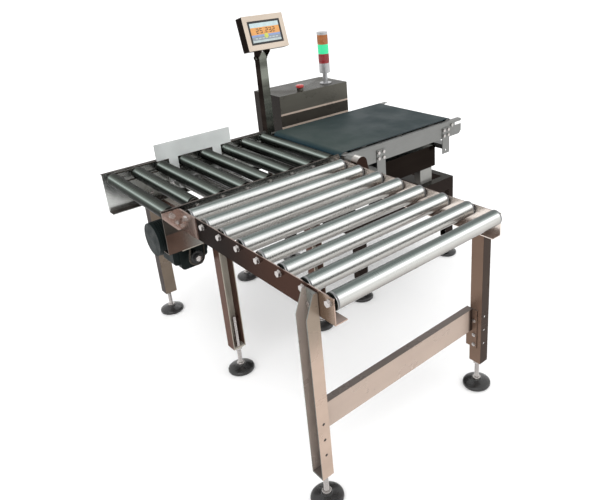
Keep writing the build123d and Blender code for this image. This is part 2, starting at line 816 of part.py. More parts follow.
def belt_frame():
    """Side plates, slide bed, cross bars and the forked tension ends of the weigh belt."""
    left = belt_first_x - 24
    outline = closed_outline(
        [
            (left, plate_bottom + 12),
            (left + 12, plate_bottom),
            (plate_end - 14, plate_bottom),
            (plate_end, plate_bottom + 14),
            (plate_end, plate_top),
            (left, plate_top),
        ]
    )
    slot = Pos((belt_last_x + 24 + plate_end) / 2 + 10, belt_axis_z) * Rectangle(
        plate_end - belt_last_x - 24 + 20, 14
    )
    outline -= slot
    frame = plate_xz(outline, plate_front, plate_front + sheet)
    frame += plate_xz(outline, plate_back - sheet, plate_back)
    bed_left = belt_first_x + belt_roller_radius + 7
    bed_right = belt_last_x - belt_roller_radius - 7
    bed_top = belt_top - belt_thickness
    for y0, y1 in (
        (plate_front, belt_inset - 2),
        (belt_back + 2, plate_back),
    ):
        edge = box(left, plate_end, y0, y1, plate_top - sheet, plate_top)
        for x in slot_centres:
            edge -= box(x - 9, x + 9, y0 + 9, y0 + 13, plate_top - sheet, plate_top)
        frame += edge
    frame += box(bed_left, bed_right, belt_inset + 3, belt_back - 3, bed_top - 3, bed_top)
    for x in cross_bar_centres:
        frame += box(
            x - 15, x + 15, plate_front, plate_back, plate_top - 30, plate_top - 6
        )
        frame += box(
            x - 15, x + 15, belt_inset + 3, belt_back - 3, plate_top - 8, bed_top - 3
        )
    for y0, y1 in (
        (plate_front + sheet, plate_front + sheet + 18),
        (plate_back - sheet - 18, plate_back - sheet),
    ):
        frame += box(
            belt_last_x - 18, belt_last_x + 20, y0, y1, plate_bottom + 8, plate_top - sheet
        )
    lug = 40
    frame += box(
        belt_motor_x - lug,
        belt_motor_x + lug,
        plate_front,
        plate_front + sheet,
        belt_motor_z - belt_motor_radius - 2,
        plate_bottom + sheet,
    )
    housing = rod_y(guard_radius - 2, guard_back, plate_front, belt_first_x, belt_axis_z)
    frame += housing
    frame += rod_y(guard_radius - 4, guard_back, plate_front, belt_motor_x, belt_motor_z)
    for x, z in ((belt_first_x, belt_axis_z), (belt_last_x, belt_axis_z)):
        frame -= rod_y(
            belt_shaft_radius + running_gap, guard_back - 1, plate_back + 1, x, z
        )
    frame -= rod_y(
        belt_shaft_radius + loose_gap,
        guard_back - 1,
        plate_front + sheet + 1,
        belt_motor_x,
        belt_motor_z,
    )
    for x in bracket_bolt_columns:
        for z in plate_bolt_heights:
            frame -= rod_y(bolt_hole_radius, plate_front - 1, plate_front + 4, x, z)
            frame -= rod_y(bolt_hole_radius, plate_back - 4, plate_back + 1, x, z)
    return frame


def belt_end_roller(x, near_end, sprocket):
    """Belt roller with its shaft, and a sprocket inside the guard when asked for."""
    drum = rod_y(belt_roller_radius, belt_inset, belt_back, x, belt_axis_z)
    drum = drum + rod_y(belt_shaft_radius, near_end, plate_back + 6, x, belt_axis_z)
    if sprocket:
        drum += toothed_disc(sprocket_radius, x, belt_axis_z, belt_chain_y)
    return drum


def belt_motor():
    """Teal gear motor under the belt, fixed to the near side plate's lug."""
    y0 = plate_front + sheet
    y1 = y0 + belt_motor_length
    x, z = belt_motor_x, belt_motor_z
    body = rod_y(belt_motor_radius, y0, y0 + 12, x, z)
    body += rod_y(belt_motor_radius - 3, y0 + 12, y1 - 22, x, z)
    fins = 6
    for i in range(fins):
        start = y0 + 24 + i * (belt_motor_length - 62) / fins
        body += rod_y(belt_motor_radius - 0.5, start, start + 6, x, z)
    body += rod_y(belt_motor_radius, y1 - 22, y1, x, z)
    return body - rod_y(belt_shaft_radius + running_gap, y0 - 1, y0 + 40, x, z)


def belt_motor_sprocket():
    """Sprocket on the belt motor's shaft, inside the guard."""
    x, z = belt_motor_x, belt_motor_z
    disc = toothed_disc(sprocket_radius, x, z, belt_chain_y)
    return disc + rod_y(belt_shaft_radius, guard_front + 6, plate_front + sheet + 38, x, z)


def drive_guard():
    """Polished hollow cover over the belt's drive chain."""
    first, second = (belt_first_x, belt_axis_z), (belt_motor_x, belt_motor_z)
    outside = loop_outline(first, guard_radius, second, guard_radius)
    inner = guard_radius - 2
    inside = loop_outline(first, inner, second, inner)
    cover = plate_xz(outside, guard_front, guard_back)
    cover -= plate_xz(inside, guard_front + 2, guard_back - 2)
    for x, z in (first, second):
        cover -= rod_y(belt_shaft_radius + 1, guard_back - 3, guard_back + 1, x, z)
    return cover


def support_brackets():
    """Welded carrier that takes the belt frame down to the load cell's live end."""
    top = plate_bottom + 52
    middle_y = (box_front + box_back) / 2
    body = None
    for x0 in (left_bracket_x, right_bracket_x):
        x1 = x0 + bracket_width
        bar = box(x0, x1, plate_front, plate_back, box_bottom + 90, spider_bottom)
        body = bar if body is None else body + bar
        for y0, y1 in ((plate_front - sheet, plate_front), (plate_back, plate_back + sheet)):
            ear = box(x0, x1, y0, y1, spider_bottom - 48, top)
            ear -= box(x0 + 20, x1 - 20, y0 - 1, y1 + 1, spider_bottom - 36, spider_bottom - 28)
            for x in (x0 + 10, x1 - 10):
                for z in plate_bolt_heights:
                    ear -= rod_y(bolt_hole_radius, y0 - 1, y1 + 1, x, z)
            body += ear
    body += box(
        left_bracket_x,
        right_bracket_x + bracket_width,
        middle_y - 45,
        middle_y + 45,
        spider_bottom,
        spider_bottom + 8,
    )
    return body + box(
        box_left + 110, box_left + 142, middle_y - 18, middle_y + 18, cell_top, spider_bottom
    )


def load_cell():
    """Single-point load cell bar with its two round weakening holes."""
    middle_y = (box_front + box_back) / 2
    z0 = cell_top - 40
    bar = box(box_left + 106, box_left + 286, middle_y - 18, middle_y + 18, z0, cell_top)
    for x in (box_left + 178, box_left + 214):
        bar -= rod_y(13, middle_y - 19, middle_y + 19, x, z0 + 20)
    return bar - box(
        box_left + 178, box_left + 214, middle_y - 19, middle_y + 19, z0 + 17, z0 + 23
    )


def weigh_box():
    """Sheet box round the load cell, with the cell's fixed foot inside it."""
    middle_y = (box_front + box_back) / 2
    wall = 2.0
    shell = box(box_left, box_right, box_front, box_back, box_bottom, weigh_box_top)
    shell -= box(
        box_left + wall,
        box_right - wall,
        box_front + wall,
        box_back - wall,
        box_bottom + wall,
        weigh_box_top - wall,
    )
    shell -= box(
        box_left + 102,
        box_left + 150,
        middle_y - 26,
        middle_y + 26,
        weigh_box_top - 3,
        weigh_box_top + 1,
    )
    return shell + box(
        box_left + 246,
        box_left + 286,
        middle_y - 18,
        middle_y + 18,
        box_bottom,
        cell_top - 40,
    )


def weigh_stand():
    """Deep framed table on four channel legs, with two beams and four stand-off blocks."""
    z0, z1 = stand_top - apron_height, stand_top
    frame = box(stand_left, stand_right, stand_front, stand_back, z0, z1)
    frame -= box(
        stand_left + sheet,
        stand_right - sheet,
        stand_front + sheet,
        stand_back - sheet,
        z0 - 1,
        z1 - sheet,
    )
    frame -= box(
        stand_left + bottom_lip,
        stand_right - bottom_lip,
        stand_front + bottom_lip,
        stand_back - bottom_lip,
        z1 - sheet - 1,
        z1 + 1,
    )
    frame -= box(
        stand_right - 62,
        stand_right - 32,
        stand_front - 1,
        stand_front + sheet + 1,
        z0 + 18,
        z0 + 53,
    )
    for x0, x1 in beam_spans:
        frame += box(x0, x1, stand_front + sheet, stand_back - sheet, z1 - 30, z1)
    for x, x_side in ((stand_left, 1), (stand_right, -1)):
        for y, y_side in ((stand_front, 1), (stand_back, -1)):
            leg = stand_leg(x, x_side, y, y_side, z0)
            frame += leg - stud_hole(x + x_side * 25, y + y_side * 20)
    blocks = []
    for x0, x1 in beam_spans:
        for y0, y1 in ((box_front, box_front + 40), (box_back - 40, box_back)):
            blocks.append(box(x0, x1, y0, y1, stand_top, box_bottom))
    arms = []
    for x in (cabinet_left + 78, cabinet_right - 80):
        arm = box(x - 20, x + 20, stand_back, cabinet_back, cabinet_bottom - 40, cabinet_bottom)
        arm -= box(
            x - 17,
            x + 17,
            stand_back + sheet,
            cabinet_back + 1,
            cabinet_bottom - 41,
            cabinet_bottom - 3,
        )
        arms.append(arm)
    return assembly([frame, *blocks, *arms])


def stand_leg(x, x_side, y, y_side, top):
    """Corner leg of the weigh stand: a channel whose web faces the machine's end."""
    width, depth = 50, 40
    x_low, x_high = sorted((x, x + x_side * width))
    y_low, y_high = sorted((y, y + y_side * depth))
    leg = box(*sorted((x, x + x_side * sheet)), y_low, y_high, base_height, top)
    leg += box(x_low, x_high, y_low, y_low + sheet, base_height, top)
    leg += box(x_low, x_high, y_high - sheet, y_high, base_height, top)
    leg += box(x_low, x_high, y_low, y_high, base_height, base_top)
    return leg + box(x_low, x_high, y_low, y_high, top - sheet, top)


def hmi_column():
    """Square column with the tilt pin that carries the operator panel."""
    half = column_size / 2
    z0 = stand_top - apron_height
    column = box(
        column_x - half, column_x + half, column_y - half, column_y + half, z0, column_top
    )
    wall = 2.0
    column -= box(
        column_x - half + wall,
        column_x + half - wall,
        column_y - half + wall,
        column_y + half - wall,
        z0 - 1,
        column_top - 50,
    )
    pin_half = half + 6.0
    column += rod_x(6, column_x - pin_half, column_x + pin_half, column_y, hinge_z)
    for side in (-1, 1):
        x = column_x + side * (pin_half + bolt_head_height / 2)
        cap = extrude(hexagon(18), bolt_head_height)
        turned = Plane(origin=(x, column_y, hinge_z), z_dir=(1, 0, 0)).location
        column += turned * (Pos(0, 0, -bolt_head_height / 2) * cap)
    return column


def panel_place():
    """Place of the operator panel: middle of its front face, leaned back."""
    lean = radians(panel_lean)
    y = column_y - 86.0 + sin(lean) * panel_height / 2
    z = hinge_z + 47.0 + cos(lean) * panel_height / 2
    return Pos(column_x, y, z) * Rot(-panel_lean, 0, 0)


def hmi_housing():
    """Panel case with its screen recess, hollow back and two tilt ears."""
    w, h, d = panel_width / 2, panel_height / 2, panel_depth
    case = box(-w, w, 0, d, -h, h)
    case = fillet(case.edges().filter_by(Axis.Y), 4)
    screen_w, screen_h = screen_size
    case -= box(-screen_w / 2, screen_w / 2, -1, screen_depth, -screen_h / 2, screen_h / 2)
    case -= box(
        -screen_w / 2 + 8, screen_w / 2 - 8, 0, d - 6, -screen_h / 2 + 8, screen_h / 2 - 8
    )
    case -= box(-w + sheet, w - sheet, screen_depth + 2, d - sheet, -h + sheet, h - sheet)
    housing = panel_place() * case
    lean = radians(panel_lean)
    low = column_y - 86.0 + d * cos(lean)
    root_z = hinge_z + 47.0 - d * sin(lean)
    half = column_size / 2
    arm = closed_outline(
        [
            (column_y - 9, hinge_z - 9),
            (column_y + 11, hinge_z - 4),
            (column_y + 9, hinge_z + 11),
            (low + 22, root_z + 64),
            (low - 14, root_z - 1),
        ]
    )
    arm += Pos(column_y, hinge_z) * Circle(12)
    for side in (-1, 1):
        x = column_x + side * (half + side_gap)
        ear = plate_yz(arm, *sorted((x, x + side * 4.0)))
        ear -= rod_x(6 + running_gap, x - 5, x + 5, column_y, hinge_z)
        ear -= housing_block()
        housing += ear
    return housing


def housing_block():
    """Solid block that fills the panel's case, used to trim the ears."""
    w, h, d = panel_width / 2, panel_height / 2, panel_depth
    return panel_place() * box(-w, w, -5, d - 1.0, -h, h)


def hmi_screen():
    """Touch screen in the panel's recess."""
    screen_w, screen_h = screen_size
    half_w, half_h = screen_w / 2 - loose_gap, screen_h / 2 - loose_gap
    return panel_place() * box(-half_w, half_w, 1.0, screen_depth, -half_h, half_h)


def control_cabinet():
    """Cabinet shell, open to the rear, with hinge knuckles and the stop button's collar."""
    wall = 2.0
    shell = box(
        cabinet_left, cabinet_right, cabinet_front, cabinet_back, cabinet_bottom, cabinet_top
    )
    shell -= box(
        cabinet_left + wall,
        cabinet_right - wall,
        cabinet_front + wall,
        cabinet_back + 1,
        cabinet_bottom + wall,
        cabinet_top - wall,
    )
    for z in knuckle_heights:
        knuckle = rod_z(5, z - 30, z - 10, door_hinge_x, door_hinge_y)
        knuckle += box(
            cabinet_right - wall,
            door_hinge_x,
            cabinet_back - 8,
            cabinet_back - 4,
            z - 30,
            z - 10,
        )
        knuckle += box(
            door_hinge_x - 2,
            door_hinge_x + 2,
            cabinet_back - 8,
            door_hinge_y,
            z - 30,
            z - 10,
        )
        shell += knuckle
        shell += rod_z(3, z - 10, z + 10, door_hinge_x, door_hinge_y)
    shell += rod_z(16, cabinet_top - wall, cabinet_top + 10, estop_x, estop_y)
    return shell - rod_z(
        8 + running_gap, cabinet_top - wall - 1, cabinet_top + 11, estop_x, estop_y
    )


def cabinet_door():
    """Rear door, a shallow tray hung on two knuckles, with a grip."""
    x0, x1 = cabinet_left + 2, cabinet_right - 2
    y0, y1 = cabinet_back, cabinet_back + 16
    z0, z1 = cabinet_bottom + 2, cabinet_top - 2
    door = box(x0, x1, y0, y1, z0, z1)
    door -= box(x0 + 2, x1 - 2, y0 - 1, y1 - 2, z0 + 2, z1 - 2)
    for z in knuckle_heights:
        door += box(
            x1 - 2, door_hinge_x, door_hinge_y + 2.5, door_hinge_y + 4.5, z - 9.5, z + 9.5
        )
        door += rod_z(5, z - 9.5, z + 9.5, door_hinge_x, door_hinge_y)
        door -= rod_z(3 + running_gap, z - 11, z + 11, door_hinge_x, door_hinge_y)
    middle = (z0 + z1) / 2
    door += rod_z(6, middle - 40, middle + 40, x0 + 30, y1 + 14)
    for z in (middle - 34, middle + 34):
        door += rod_y(5, y1 - 1, y1 + 14, x0 + 30, z)
    return door


def cabinet_electronics():
    """Mounting plate with its drives, supply and terminals inside the cabinet."""
    wall = 2.0
    y0 = cabinet_front + wall
    x0, x1 = cabinet_left + 28, cabinet_right - 28
    z0, z1 = cabinet_bottom + 36, cabinet_top - 44
    body = box(x0, x1, y0 + 8, y0 + 11, z0, z1)
    for x in (x0 + 10, x1 - 10):
        for z in (z0 + 10, z1 - 10):
            body += rod_y(5, y0, y0 + 8, x, z)
    for left, width, low, high, depth in device_blocks:
        body += box(x0 + left, x0 + left + width, y0 + 11, y0 + 11 + depth, z0 + low, z0 + high)
    return body


def estop_button():
    """Mushroom stop button that slides in the cabinet's collar."""
    top = cabinet_top + 15
    head = rod_z(20, top, top + 7, estop_x, estop_y)
    head += Pos(estop_x, estop_y, top + 10) * Cone(20, 12, 6)
    return head + rod_z(8, cabinet_top - 12, top, estop_x, estop_y)


def tower_base():
    """Flange, pole, body, centre rod and cap of the signal tower."""
    z = cabinet_top
    body = rod_z(31, z, z + 5, tower_x, tower_y)
    body += rod_z(12.5, z + 5, lens_start - 49, tower_x, tower_y)
    body += rod_z(tower_radius, lens_start - 49, lens_start, tower_x, tower_y)
    top = lens_start + 3 * lens_height
    body += rod_z(8, lens_start, top, tower_x, tower_y)
    return body + rod_z(tower_radius, top, top + 13, tower_x, tower_y)


def tower_lens(level):
    """One ribbed lens ring of the signal tower, counted from the bottom."""
    z0 = lens_start + level * lens_height
    ring = rod_z(tower_radius - 0.5, z0, z0 + lens_height, tower_x, tower_y)
    return ring - rod_z(tower_radius - 3.5, z0 - 1, z0 + lens_height + 1, tower_x, tower_y)


def fasteners():
    """All hex bolts and nuts as separate solids."""
    bolts = []
    reach = axle_bolt_reach
    for i, x in enumerate(main_axles):
        seat = sheet if i == 0 else 0
        bolts.append(axle_bolt((x, -seat, main_axle_z), (0, 1, 0), reach + seat))
        bolts.append(axle_bolt((x, main_width, main_axle_z), (0, -1, 0), reach))
    for i, y in enumerate(gravity_axles):
        seat = sheet if i == 0 else 0
        left, right = gravity_left - seat, gravity_right + seat
        bolts.append(axle_bolt((left, y, gravity_axle_z), (1, 0, 0), reach + seat))
        bolts.append(axle_bolt((right, y, gravity_axle_z), (-1, 0, 0), reach + seat))
    bolts.append(bolt((front_bolt_x, -sheet, front_bolt_z), (0, 1, 0), 14, 2 * sheet))
    for x, side in ((gravity_left - sheet, 1), (gravity_right + sheet, -1)):
        bolts.append(bolt((x, side_bolt_y, side_bolt_z), (side, 0, 0), 14, 2 * sheet))
    for x in main_leg_centres:
        for z in leg_bolt_heights:
            bolts.append(bolt((x, -sheet, z), (0, 1, 0), 16, 2 * sheet))
            bolts.append(bolt((x, main_width + sheet, z), (0, -1, 0), 16, 2 * sheet))
    for x, side in ((gravity_left, -1), (gravity_right, 1)):
        start = x + side * sheet
        for y in gravity_leg_bolts:
            bolts.append(bolt((start, y, gravity_bolt_z), (-side, 0, 0), 14, 2 * sheet))
        for z in crossbar_bolt_heights:
            bolts.append(bolt((start, crossbar_bolt_y, z), (-side, 0, 0), 14, 2 * sheet))
    for x in bracket_bolt_columns:
        for z in plate_bolt_heights:
            bolts.append(bolt((x, plate_front - sheet, z), (0, 1, 0), 14, 2 * sheet))
            bolts.append(bolt((x, plate_back + sheet, z), (0, -1, 0), 14, 2 * sheet))
    return assembly(bolts)


def foot_places():
    """Name and plan position of each levelling foot."""
    left, right = main_leg_centres
    near, far = -main_foot_reach, main_width + main_foot_reach
    return {
        "foot_main_near_left": (left, near),
        "foot_main_near_right": (right, near),
        "foot_main_far_left": (left, far),
        "foot_main_far_right": (right, far),
        "foot_reject_left": (gravity_left - gravity_foot_reach, -gravity_leg_offset),
        "foot_reject_right": (gravity_right + gravity_foot_reach, -gravity_leg_offset),
        "foot_weigh_near_left": (stand_left + 25, stand_front + 20),
        "foot_weigh_near_right": (stand_right - 25, stand_front + 20),
        "foot_weigh_far_left": (stand_left + 25, stand_back - 20),
        "foot_weigh_far_right": (stand_right - 25, stand_back - 20),
    }


def build_nodes():
    """Every node of the machine by name."""
    nodes = {
        "main_rails": main_rails(),
        "roller_axles": roller_axles(),
        "drive_chains": drive_chains(),
        "gear_motor": gear_motor(),
        "drive_sprocket": drive_sprocket(),
        "main_stand": main_stand(),
        "pusher_plate": pusher_plate(),
        "pusher_carriage": pusher_carriage(),
        "pusher_slide": pusher_slide(),
        "gravity_rails": gravity_rails(),
        "gravity_stand": gravity_stand(),
        "weigh_belt": weigh_belt(),
        "belt_frame": belt_frame(),
        "belt_drive_roller": belt_end_roller(belt_first_x, guard_front + 6, True),
        "belt_tail_roller": belt_end_roller(belt_last_x, plate_front - 6, False),
        "belt_motor": belt_motor(),
        "belt_motor_sprocket": belt_motor_sprocket(),
        "drive_guard": drive_guard(),
        "support_brackets": support_brackets(),
        "load_cell": load_cell(),
        "weigh_box": weigh_box(),
        "weigh_stand": weigh_stand(),
        "hmi_column": hmi_column(),
        "hmi_housing": hmi_housing(),
        "hmi_screen": hmi_screen(),
        "control_cabinet": control_cabinet(),
        "cabinet_door": cabinet_door(),
        "cabinet_electronics": cabinet_electronics(),
        "estop_button": estop_button(),
        "tower_base": tower_base(),
        "tower_lens_red": tower_lens(0),
        "tower_lens_green": tower_lens(1),
        "tower_lens_amber": tower_lens(2),
        "fasteners": fasteners(),
    }
    for i in range(main_roller_count):
        nodes[f"main_roller_{i + 1}"] = main_roller(i)
    for i in range(gravity_roller_count):
        nodes[f"gravity_roller_{i + 1}"] = gravity_roller(i)
    for name, (x, y) in foot_places().items():
        stud_top = short_stud_top if "reject" in name else long_stud_top
        nodes[name] = foot(x, y, stud_top)
    return nodes


def centred(nodes):
    """Nodes moved so that the origin is the middle of the machine's underside."""
    boxes = [shape.bounding_box() for shape in nodes.values()]
    x = (min(b.min.X for b in boxes) + max(b.max.X for b in boxes)) / 2
    y = (min(b.min.Y for b in boxes) + max(b.max.Y for b in boxes)) / 2
    z = min(b.min.Z for b in boxes)
    shift = Pos(-x, -y, -z)
    return {name: shift * shape for name, shape in nodes.items()}


def main():
    os.makedirs("parts", exist_ok=True)
    for name, shape in centred(build_nodes()).items():
        export_step(shape, f"parts/{name}.step")


if __name__ == "__main__":
    main()
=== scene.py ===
"""Looks of the checkweigher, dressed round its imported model. Lengths are in metres."""

import json
import logging
from collections.abc import Sequence
from dataclasses import dataclass
from enum import Enum, unique
from functools import cache
from math import cos, pi, radians, sin

import bmesh
import bpy
from mathutils import Matrix, Vector


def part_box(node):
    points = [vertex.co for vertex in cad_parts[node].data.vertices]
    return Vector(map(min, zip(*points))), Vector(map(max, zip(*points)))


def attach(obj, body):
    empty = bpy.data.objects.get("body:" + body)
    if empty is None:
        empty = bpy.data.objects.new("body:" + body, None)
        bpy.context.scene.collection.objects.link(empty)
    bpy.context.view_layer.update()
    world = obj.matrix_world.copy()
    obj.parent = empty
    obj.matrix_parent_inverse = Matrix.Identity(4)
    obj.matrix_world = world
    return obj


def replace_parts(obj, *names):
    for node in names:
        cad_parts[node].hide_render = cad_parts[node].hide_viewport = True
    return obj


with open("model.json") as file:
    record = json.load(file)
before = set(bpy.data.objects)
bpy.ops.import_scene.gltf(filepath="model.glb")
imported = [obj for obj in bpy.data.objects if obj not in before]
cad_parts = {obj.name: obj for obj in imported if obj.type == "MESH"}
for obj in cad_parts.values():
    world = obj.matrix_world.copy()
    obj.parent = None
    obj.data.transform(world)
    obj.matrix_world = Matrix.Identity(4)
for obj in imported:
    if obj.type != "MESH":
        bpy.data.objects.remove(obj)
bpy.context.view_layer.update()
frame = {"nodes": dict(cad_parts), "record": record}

log = logging.getLogger("checkweigher")

Colour = tuple[float, float, float, float]
Shade = tuple[int, int, int]
Point = tuple[float, float, float]
Outline = Sequence[tuple[float, float]]

# Corners closer than this are one corner.
MERGE_GAP = 1e-6
# Faces across a rounded edge.
ROUND_STEPS = 2
# Share of a relief that shows.
BUMP_STRENGTH = 0.6


class Axis(Enum):
    """Axis of the row frame."""

    X = "x"
    Y = "y"
    Z = "z"


def paint(red: int, green: int, blue: int) -> Colour:
    """Linear colour of a paint mixed in 0 to 255 display steps.

    Args:
        red: Red step.
        green: Green step.
        blue: Blue step.

    Returns:
        The colour as a shader socket takes it.
    """
    steps = []
    for value in (red, green, blue):
        share = value / 255
        steps.append(share / 12.92 if share <= 0.04045 else ((share + 0.055) / 1.055) ** 2.4)
    return (steps[0], steps[1], steps[2], 1.0)


WHITE = paint(255, 255, 255)
BLACK = paint(0, 0, 0)


class Wiring:
    """A node tree with short calls for its nodes and links."""

    # Sockets of a Mix node that take its factor and two colours, and the one that gives a colour.
    MIX_INPUTS = (0, 6, 7)
    MIX_OUTPUT = 2

    def __init__(self, tree: bpy.types.NodeTree) -> None:
        """Keeps the tree that the calls work on."""
        self.tree = tree

    def add(self, kind: str, **settings: object) -> bpy.types.Node:
        """Adds a node and sets its properties.

        Args:
            kind: Blender's name of the node type.
            **settings: Properties of the node by name.

        Returns:
            The new node.
        """
        node = self.tree.nodes.new(kind)
        for name, value in settings.items():
            setattr(node, name, value)
        return node

    def link(self, source: bpy.types.NodeSocket, target: bpy.types.NodeSocket) -> None:
        """Joins an output to an input."""
        self.tree.links.new(source, target)

    def feed(self, target: bpy.types.NodeSocket, value: object) -> None:
        """Links an output to an input, or sets a constant on it."""
        if isinstance(value, bpy.types.NodeSocket):
            self.link(value, target)
        else:
            target.default_value = value

    def fill(self, node: bpy.types.Node, **values: object) -> None:
        """Feeds inputs of a node by name.

        Args:
            node: The node.
            **values: Outputs and constants, with underscores for the spaces in the names.
        """
        for label, value in values.items():
            self.feed(node.inputs[label.replace("_", " ")], value)

    def math(self, operation: str, first: object, second: object) -> bpy.types.NodeSocket:
        """Adds a Math node.

        Args:
            operation: Name of the operation.
            first: Socket or number for the first input.
            second: Socket or number for the second input.

        Returns:
            The node's output.
        """
        node = self.add("ShaderNodeMath", operation=operation)
        self.feed(node.inputs[0], first)
        self.feed(node.inputs[1], second)
        return node.outputs[0]

    def mix(self, factor: object, first: object, second: object) -> bpy.types.NodeSocket:
        """Mixes two colours.

        Args:
            factor: Socket or number, 0 for the first colour.
            first: Socket or colour.
            second: Socket or colour.

        Returns:
            The mixed colour's output.
        """
        node = self.add("ShaderNodeMix", data_type="RGBA")
        for place, value in zip(self.MIX_INPUTS, (factor, first, second)):
            self.feed(node.inputs[place], value)
        return node.outputs[self.MIX_OUTPUT]

    def multiply(self, first: object, second: object) -> bpy.types.NodeSocket:
        """Multiplies two colours.

        Args:
            first: Socket or colour.
            second: Socket or colour.

        Returns:
            The product's output.
        """
        product = self.mix(1.0, first, second)
        product.node.blend_type = "MULTIPLY"
        return product

    def parts(self, kind: str, output: str) -> bpy.types.bpy_prop_collection:
        """Adds an input node and splits its vector.

        Args:
            kind: Blender's name of the input node's type.
            output: Name of the output that holds the vector.

        Returns:
            The outputs X, Y and Z.
        """
        split = self.add("ShaderNodeSeparateXYZ")
        self.link(self.add(kind).outputs[output], split.inputs[0])
        return split.outputs

    def rise(self, value: bpy.types.NodeSocket, start: float, stop: float) -> bpy.types.NodeSocket:
        """Eases from 0 to 1 between two values.

        Args:
            value: Output to map.
            start: Value that gives 0.
            stop: Value that gives 1.

        Returns:
            The mapped output.
        """
        node = self.add("ShaderNodeMapRange", interpolation_type="SMOOTHSTEP")
        self.fill(node, Value=value, From_Min=start, From_Max=stop)
        return node.outputs[0]

    def spread(self, value: bpy.types.NodeSocket, low: float, high: float) -> bpy.types.NodeSocket:
        """Maps a 0 to 1 value onto another range.

        Args:
            value: Output to map.
            low: Result at 0.
            high: Result at 1.

        Returns:
            The mapped output.
        """
        node = self.add("ShaderNodeMapRange")
        self.fill(node, Value=value, To_Min=low, To_Max=high)
        return node.outputs[0]


